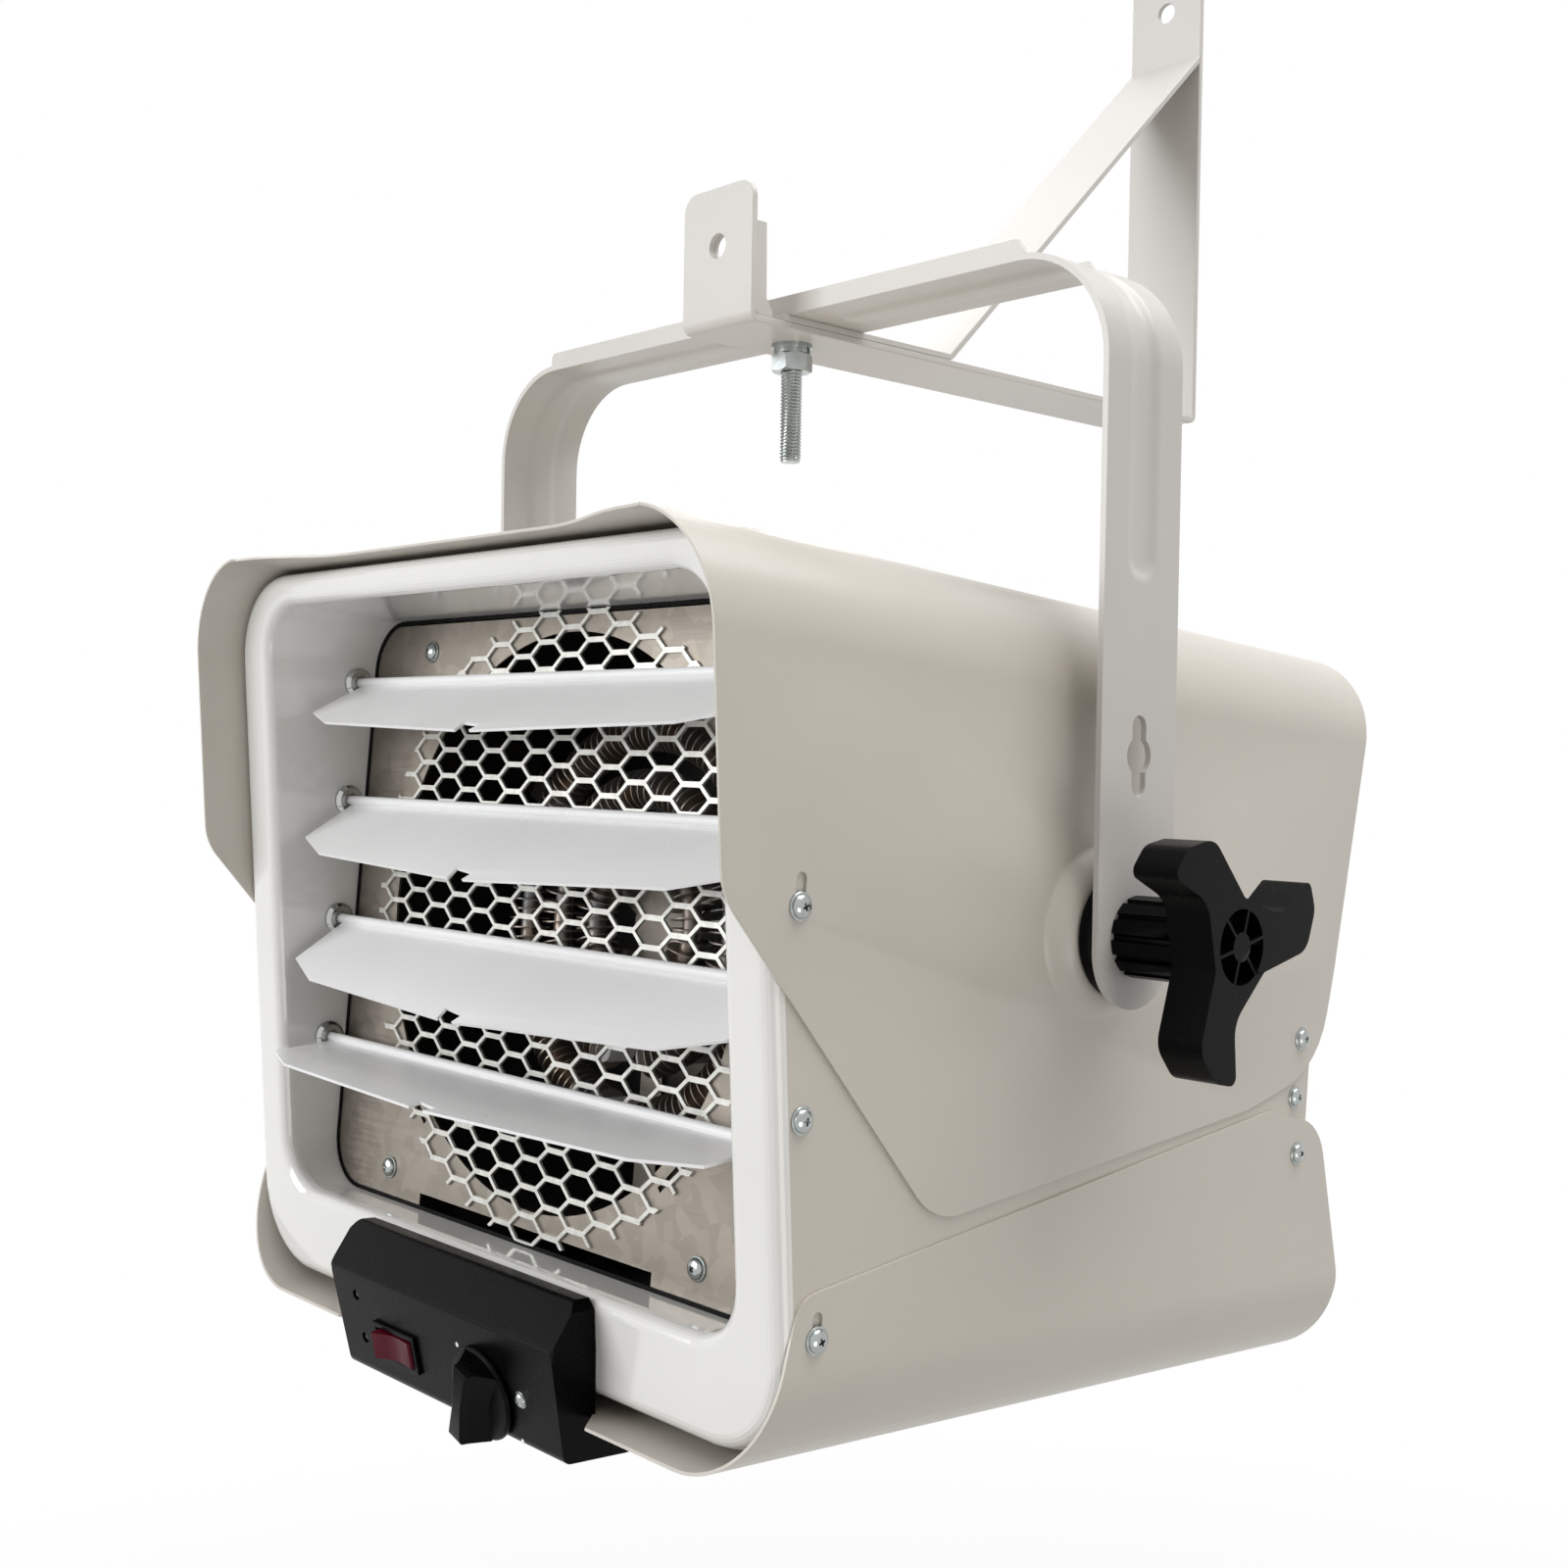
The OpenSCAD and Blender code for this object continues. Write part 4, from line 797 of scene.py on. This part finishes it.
class HEATER_OT_yoke(bpy.types.Operator):
    """The yoke as one pressed strip with its soft grooves"""

    bl_idname = "heater.yoke"
    bl_label = "Pressed yoke"

    def execute(self, context):
        sizes = context.scene.heater_sizes
        raw = placed("yoke_strip", self.strip(sizes.groove_depth / MM, sizes.groove_half / MM))
        rims = placed("yoke_rims", self.rims())
        holes = placed("yoke_holes", self.holes())
        cut_or_joined(raw, rims, "UNION")
        cut_or_joined(raw, holes, "DIFFERENCE")
        round_edges(raw, sizes.strip_edge, 50)
        mesh = plain_mesh(raw, "yoke_pressed")
        for made in (rims, holes):
            bpy.data.objects.remove(made)
        mesh.transform(ROW)
        mesh.materials.clear()
        mesh.materials.append(finish_of("yoke"))
        if len(mesh.polygons) < 500:
            raise RuntimeError("the yoke's strip was not made")
        piece("yoke_pressed", mesh, "yoke", "yoke", slot=SLOT_OF["yoke"])
        return {"FINISHED"}

    def stations(self):
        """Places along half the strip, from the top's middle to the leg's end, with the way inwards."""
        flat = YOKE_HALF - YOKE_R
        bend = YOKE_R * math.pi / 2
        leg = YOKE_TOP - YOKE_R - YOKE_FOOT
        leg_start = flat + bend
        groove_end = leg_start + YOKE_TOP - YOKE_R - GROOVE_END
        fine = [1.25 * i for i in range(-8, 9)]
        spots = [0, 8, 16, 24, 60, 80, 100, 120, leg_start + 12, leg_start + 32, leg_start + leg * 0.75]
        spots += [GROOVE_START + step for step in fine]
        spots += [groove_end + step for step in fine]
        spots += [flat + bend * i / 20 for i in range(21)]
        spots += [leg_start + leg + YOKE_W / 2 * math.sin(math.radians(a)) for a in range(0, 91, 6)]
        for s in sorted(set(spots)):
            if s <= flat:
                yield s, Vector((s, 0, YOKE_TOP)), Vector((0, 0, -1))
            elif s <= leg_start:
                a = (s - flat) / YOKE_R
                out = Vector((math.sin(a), 0, math.cos(a)))
                yield s, Vector((flat, 0, YOKE_TOP - YOKE_R)) + out * YOKE_R, -out
            else:
                down = s - leg_start
                yield s, Vector((YOKE_HALF, 0, YOKE_TOP - YOKE_R - down)), Vector((-1, 0, 0))

    def strip(self, depth, half):
        """A closed strip; both faces move inwards together where the groove is pressed."""
        end = YOKE_HALF - YOKE_R + YOKE_R * math.pi / 2 + YOKE_TOP - YOKE_R - YOKE_FOOT
        low = end - (GROOVE_END - YOKE_FOOT)
        across = [-1, -0.7, -0.46, -0.42, -0.37, -0.32, -0.27, -0.22, -0.12]
        across += [0] + [-u for u in reversed(across)]
        right = list(self.stations())
        left = [(s, Vector((-p.x, 0, p.z)), Vector((-n.x, 0, n.z))) for s, p, n in reversed(right[1:])]
        bm = bmesh.new()
        rings = []
        for s, at, way in left + right:
            width = math.sqrt(max(0, (YOKE_W / 2) ** 2 - max(0, s - end) ** 2))
            past = max(0, GROOVE_START - s, s - low)
            skins = []
            for face in (0, YOKE_T):
                row = []
                for u in across:
                    y = u * width
                    edge = (half + GROOVE_SLOPE - math.hypot(y, past)) / GROOVE_SLOPE
                    rise = min(1, max(0, edge))
                    sunk = depth * rise * rise * (3 - 2 * rise)
                    row.append(at + way * (face + sunk) + Vector((0, y, 0)))
                skins.append(row)
            rings.append(ring(bm, skins[0] + skins[1][::-1]))
        walls(bm, rings, capped=False)
        bmesh.ops.remove_doubles(bm, verts=bm.verts, dist=2e-6)
        return mesh_from(bm, "yoke_strip", angle=30)

    def rims(self):
        """The top bar's two upstanding edges."""
        outline = [(-152, -1), (149, -1), (154, 0), (150, 6), (-150, 6), (-152, 4)]
        bm = bmesh.new()
        for y in (-YOKE_W / 2, YOKE_W / 2 - YOKE_T):
            walls(bm, [ring(bm, [(x, y + d, YOKE_TOP + z) for x, z in outline]) for d in (0, YOKE_T)])
        return mesh_from(bm, "yoke_rims", angle=30)

    def holes(self):
        """The pivots, the swivel bolt's hole and the two keyholes."""
        bm = bmesh.new()
        rounds = ((0, PIVOT_R), (KEYHOLE_Z, KEYHOLE_R))
        rounds += tuple((KEYHOLE_Z + way * KEYHOLE_REACH, KEYHOLE_END_R) for way in (-1, 1))
        for side in (-1, 1):
            x = side * (YOKE_HALF - 1.5)
            for z, radius in rounds:
                self.drill(bm, (x, 0, z), Matrix.Rotation(math.pi / 2, 4, "Y"), radius, 24)
            slot = Vector((24, 2 * KEYHOLE_END_R, 2 * KEYHOLE_REACH)) * MM
            place = Matrix.Translation(Vector((x, 0, KEYHOLE_Z)) * MM)
            bmesh.ops.create_cube(bm, size=1, matrix=place @ Matrix.Diagonal(slot).to_4x4())
        self.drill(bm, (0, 0, YOKE_TOP), Matrix(), PIVOT_R, 30)
        return mesh_from(bm, "yoke_holes", angle=30)

    def drill(self, bm, at, turn, radius, depth):
        """A round cutter of this radius and depth in millimetres."""
        bmesh.ops.create_cone(
            bm,
            cap_ends=True,
            segments=40,
            radius1=radius * MM,
            radius2=radius * MM,
            depth=depth * MM,
            matrix=Matrix.Translation(Vector(at) * MM) @ turn,
        )


class HEATER_OT_black_mouldings(bpy.types.Operator):
    """Rounded edges on the clamp knobs, the control box and its controls"""

    bl_idname = "heater.black_mouldings"
    bl_label = "Black mouldings"

    def execute(self, context):
        sizes = context.scene.heater_sizes
        for node in ("knob_right", "knob_left", "control_box"):
            softened(node, sizes.mould_edge, steps=3)
        for node in ("rocker_switch", "rocker_frame"):
            softened(node, sizes.small_edge)
        self.dial(sizes.small_edge)
        return {"FINISHED"}

    def dial(self, width):
        """The thermostat's dial: a disc with a wedge for a grip, on its spindle."""
        bm = bmesh.new()
        spindle = [(0, -10), (3.9, -10), (3.9, 0.4)]
        disc = [(18, 0.4), (18.4, 0.8), (18.4, 1.8), (17.6, 2.8), (14, 3.2), (0, 3.2)]
        revolve(bm, spindle + disc, steps=48)
        # half width, half length and height of the wedge, from its foot to its ridge
        wedge = ((10.5, 15.2, 2.6), (8, 16, 5.5), (5, 16.8, 9.5), (4.2, 16.4, 12.4), (3.4, 14.6, 13))
        rows = []
        for half, reach, up in wedge:
            waist = half * 0.72
            foot = [(-half, -reach), (half, -reach), (waist, 0), (half, reach), (-half, reach), (-waist, 0)]
            rows.append(ring(bm, [(x, y, up) for x, y in foot]))
        walls(bm, rows)
        turn = Matrix.Rotation(math.radians(DIAL_TURN), 4, "Y") @ Matrix.Rotation(math.pi / 2, 4, "X")
        on_face = panel_frame(*DIAL_AT) @ turn
        raw = placed("dial", mesh_from(bm, "dial", FINISHES["black_plastic"], on_face, 30))
        round_edges(raw, width, 24)
        mesh = plain_mesh(raw, "dial_wedge_grip")
        piece("dial_wedge_grip", mesh, "dial", "thermostat_knob", slot="black_plastic")


class HEATER_OT_screws(bpy.types.Operator):
    """Cross-recessed screws on the sides, the inner panel and the control box"""

    bl_idname = "heater.screws"
    bl_label = "Screws"

    def execute(self, context):
        turns = [20, 65, 110, 35, 80, 5, 50, 95, 15, 40, 70, 100]
        places = []
        for side in (1, -1):
            for half, spots in ((HOOD_HALF, HOOD_SCREWS), (CASE_HALF, CASE_SCREWS)):
                for y, z in spots:
                    at = HEATER @ (Vector((side * half, y, z)) * MM)
                    places.append((at, (side, 0, 0), turns[len(places)]))
        screws_at("side_screws_cross", places, 1.0, "heater", "side_screws")
        ahead = Vector((0, -1, 0))
        out = HEATER.to_3x3() @ ahead
        inner = [(HEATER @ (Vector((x, PANEL_Y, z)) * MM), out, 30 + x) for x, z in PANEL_SCREWS]
        screws_at("panel_screws_cross", inner, 1.0, "heater", "panel_screws")
        face = panel_frame(*BOX_SCREW_AT)
        sunk = [(face @ Vector((0, 0.6 * MM, 0)), face.to_3x3() @ ahead, 25)]
        screws_at("box_screw_cross", sunk, 0.7, "heater", "box_screw")
        return {"FINISHED"}


class HEATER_OT_swivel_bolt(bpy.types.Operator):
    """The swivel bolt with a rolled thread and a hexagon head"""

    bl_idname = "heater.swivel_bolt"
    bl_label = "Swivel bolt"

    def execute(self, context):
        sizes = context.scene.heater_sizes
        bm = bmesh.new()
        self.thread(bm, sizes.thread_pitch / MM, sizes.thread_depth / MM)
        revolve(bm, [(0, THREAD_TOP), (BOLT_R, THREAD_TOP), (BOLT_R, YOKE_TOP), (0, YOKE_TOP)])
        # a hexagon head whose top corners are turned off
        corner = HEAD_FLATS / math.sqrt(3)
        top = YOKE_TOP + HEAD_HEIGHT
        sides = [math.radians(60 * i) for i in range(6)]
        steps = ((corner, YOKE_TOP), (corner, top - 1.3), (8.3, top))
        walls(bm, [ring(bm, [(r * math.cos(a), r * math.sin(a), z) for a in sides]) for r, z in steps])
        mesh = mesh_from(bm, "swivel_bolt_threaded", FINISHES["zinc"], ROW, 40)
        piece("swivel_bolt_threaded", mesh, "bracket", "swivel_bolt", slot="zinc")
        return {"FINISHED"}

    def thread(self, bm, pitch, depth):
        """A round bar with a helical groove, which starts from a plain point."""
        steps = 32
        span = THREAD_TOP - BOLT_END
        rows = int(span / pitch * 6)
        grid = []
        for i in range(rows + 1):
            up = span * i / rows
            fade = min(1, up / (1.4 * pitch))
            points = []
            for k in range(steps):
                phase = (up / pitch - k / steps) % 1
                cut = depth * (1 - abs(2 * phase - 1) ** 0.8) * fade + (1 - fade) * depth
                a = 2 * math.pi * k / steps
                points.append(((BOLT_R - cut) * math.cos(a), (BOLT_R - cut) * math.sin(a), BOLT_END + up))
            grid.append(ring(bm, points))
        walls(bm, grid)


class HEATER_OT_elements(bpy.types.Operator):
    """Finned element rings with their leads"""

    bl_idname = "heater.elements"
    bl_label = "Heating elements"

    def execute(self, context):
        sizes = context.scene.heater_sizes
        tree, keys = finned_tree(FINISHES["element_steel"])
        middle = Matrix.Translation(Vector((0, RING_Y, GUARD_Z)) * MM)
        stand_up = HEATER @ middle @ Matrix.Rotation(math.pi / 2, 4, "X")
        # a lead's insulator, pin and two collars
        lead = [(0, 5.5), (5.4, 5.5), (5.4, -8), (3, -8), (3, -45), (7, -45), (7, -50), (3, -50)]
        lead += [(3, -62), (0, -62)]
        for node, radius in RINGS:
            gap = math.asin(LEAD_HALF / radius)
            values = {
                "Ring": radius * MM,
                "Start": gap - math.pi / 2,
                "Sweep": 2 * math.pi - 2 * gap,
                "Gap": sizes.fin_gap,
                "Fin radius": sizes.fin_radius,
                "Fin thickness": sizes.fin_thickness,
                "Tube radius": SHEATH_R * MM,
            }
            mesh = grown(node + "_fins", bpy.data.meshes.new(node), tree, keys, values)
            bm = bmesh.new()
            bm.from_mesh(mesh)
            for side in (-1, 1):
                at = Vector((radius * math.sin(side * gap), -radius * math.cos(gap), 0)) * MM
                revolve(bm, lead, Matrix.Translation(at), 20)
            bmesh.ops.recalc_face_normals(bm, faces=bm.faces)
            bm.transform(stand_up)
            bm.to_mesh(mesh)
            bm.free()
            smooth(mesh, 40)
            piece(node + "_fins", mesh, "heater", node, slot="element_steel")
        return {"FINISHED"}


class HEATER_OT_marks(bpy.types.Operator):
    """Plain printed dots beside the dial"""

    bl_idname = "heater.marks"
    bl_label = "Printed dots"

    def execute(self, context):
        bm = bmesh.new()
        for place in DOTS_AT:
            at = panel_frame(*place) @ Matrix.Rotation(math.pi / 2, 4, "X")
            revolve(bm, [(0, -0.02), (1, -0.02), (0.95, 0.08), (0, 0.08)], at, 20)
        mesh = mesh_from(bm, "dial_dots", FINISHES["print_white"])
        piece("dial_dots", mesh, "heater", slot="bezel_gloss")
        return {"FINISHED"}


class HEATER_OT_outlet_crease_shade(bpy.types.Operator):
    """A black strip between the funnel and the inner panel: painted shade in the crease where they meet"""

    bl_idname = "heater.outlet_seal"
    bl_label = "Outlet seal"

    def execute(self, context):
        width = context.scene.heater_sizes.crease_shade_width / MM
        bm = bmesh.new()
        rings = []
        for inset, ahead in ((0.02, 0.05), (0.02, 0.5), (width, 0.5), (width, 0.05)):
            rings.append(ring(bm, [(x, PANEL_Y - ahead, z) for x, z in self.outline(inset)]))
        walls(bm, rings + rings[:1], capped=False)
        # the strip is black plastic: painted shade in the crease round the inner panel
        mesh = mesh_from(bm, "outlet_seal", FINISHES["black_plastic"], HEATER)
        piece("outlet_seal", mesh, "heater", slot="black_plastic")
        return {"FINISHED"}

    def outline(self, inset):
        """The funnel's rear opening, this far inside its wall."""
        half = OUTLET_HALF - inset
        top = OUTLET_TOP - inset
        floor = OUTLET_FLOOR + inset
        r = OUTLET_R - inset
        corners = ((half, top, 0), (-half, top, 90), (-half, floor, 180), (half, floor, 270))
        spots = []
        for x, z, start in corners:
            middle = Vector((x - math.copysign(r, x), z - math.copysign(r, z)))
            for i in range(9):
                a = math.radians(start + 90 * i / 8)
                spots.append(middle + r * Vector((math.cos(a), math.sin(a))))
        return spots


class HEATER_PT_panel(bpy.types.Panel):
    """Lists the heater's operators, sizes and colours"""

    bl_label = "Fan heater"
    bl_idname = "HEATER_PT_panel"
    bl_space_type = "VIEW_3D"
    bl_region_type = "UI"
    bl_category = "Fan heater"

    def draw(self, context):
        for made in OPERATORS:
            self.layout.operator(made.bl_idname)
        for group in (context.scene.heater_sizes, context.scene.heater_colours):
            column = self.layout.column()
            for name in group.bl_rna.properties.keys():
                if name not in ("rna_type", "name"):
                    column.prop(group, name)


GROUPS = (HeaterColours, HeaterSizes)
OPERATORS = (
    HEATER_OT_stage,
    HEATER_OT_finishes,
    HEATER_OT_sheet_edges,
    HEATER_OT_yoke,
    HEATER_OT_black_mouldings,
    HEATER_OT_screws,
    HEATER_OT_swivel_bolt,
    HEATER_OT_elements,
    HEATER_OT_marks,
    HEATER_OT_outlet_crease_shade,
)


def register():
    """Registers the classes and hangs the colours and sizes on the scene."""
    for made in (*GROUPS, *OPERATORS, HEATER_PT_panel):
        bpy.utils.register_class(made)
    bpy.types.Scene.heater_colours = bpy.props.PointerProperty(type=HeaterColours)
    bpy.types.Scene.heater_sizes = bpy.props.PointerProperty(type=HeaterSizes)


def unregister():
    """Takes back what register added."""
    del bpy.types.Scene.heater_sizes
    del bpy.types.Scene.heater_colours
    for made in reversed((*GROUPS, *OPERATORS, HEATER_PT_panel)):
        bpy.utils.unregister_class(made)


def main():
    """Dresses the heater."""
    register()
    for made in OPERATORS:
        group, name = made.bl_idname.split(".")
        getattr(getattr(bpy.ops, group), name)()


if __name__ == "__main__":
    main()
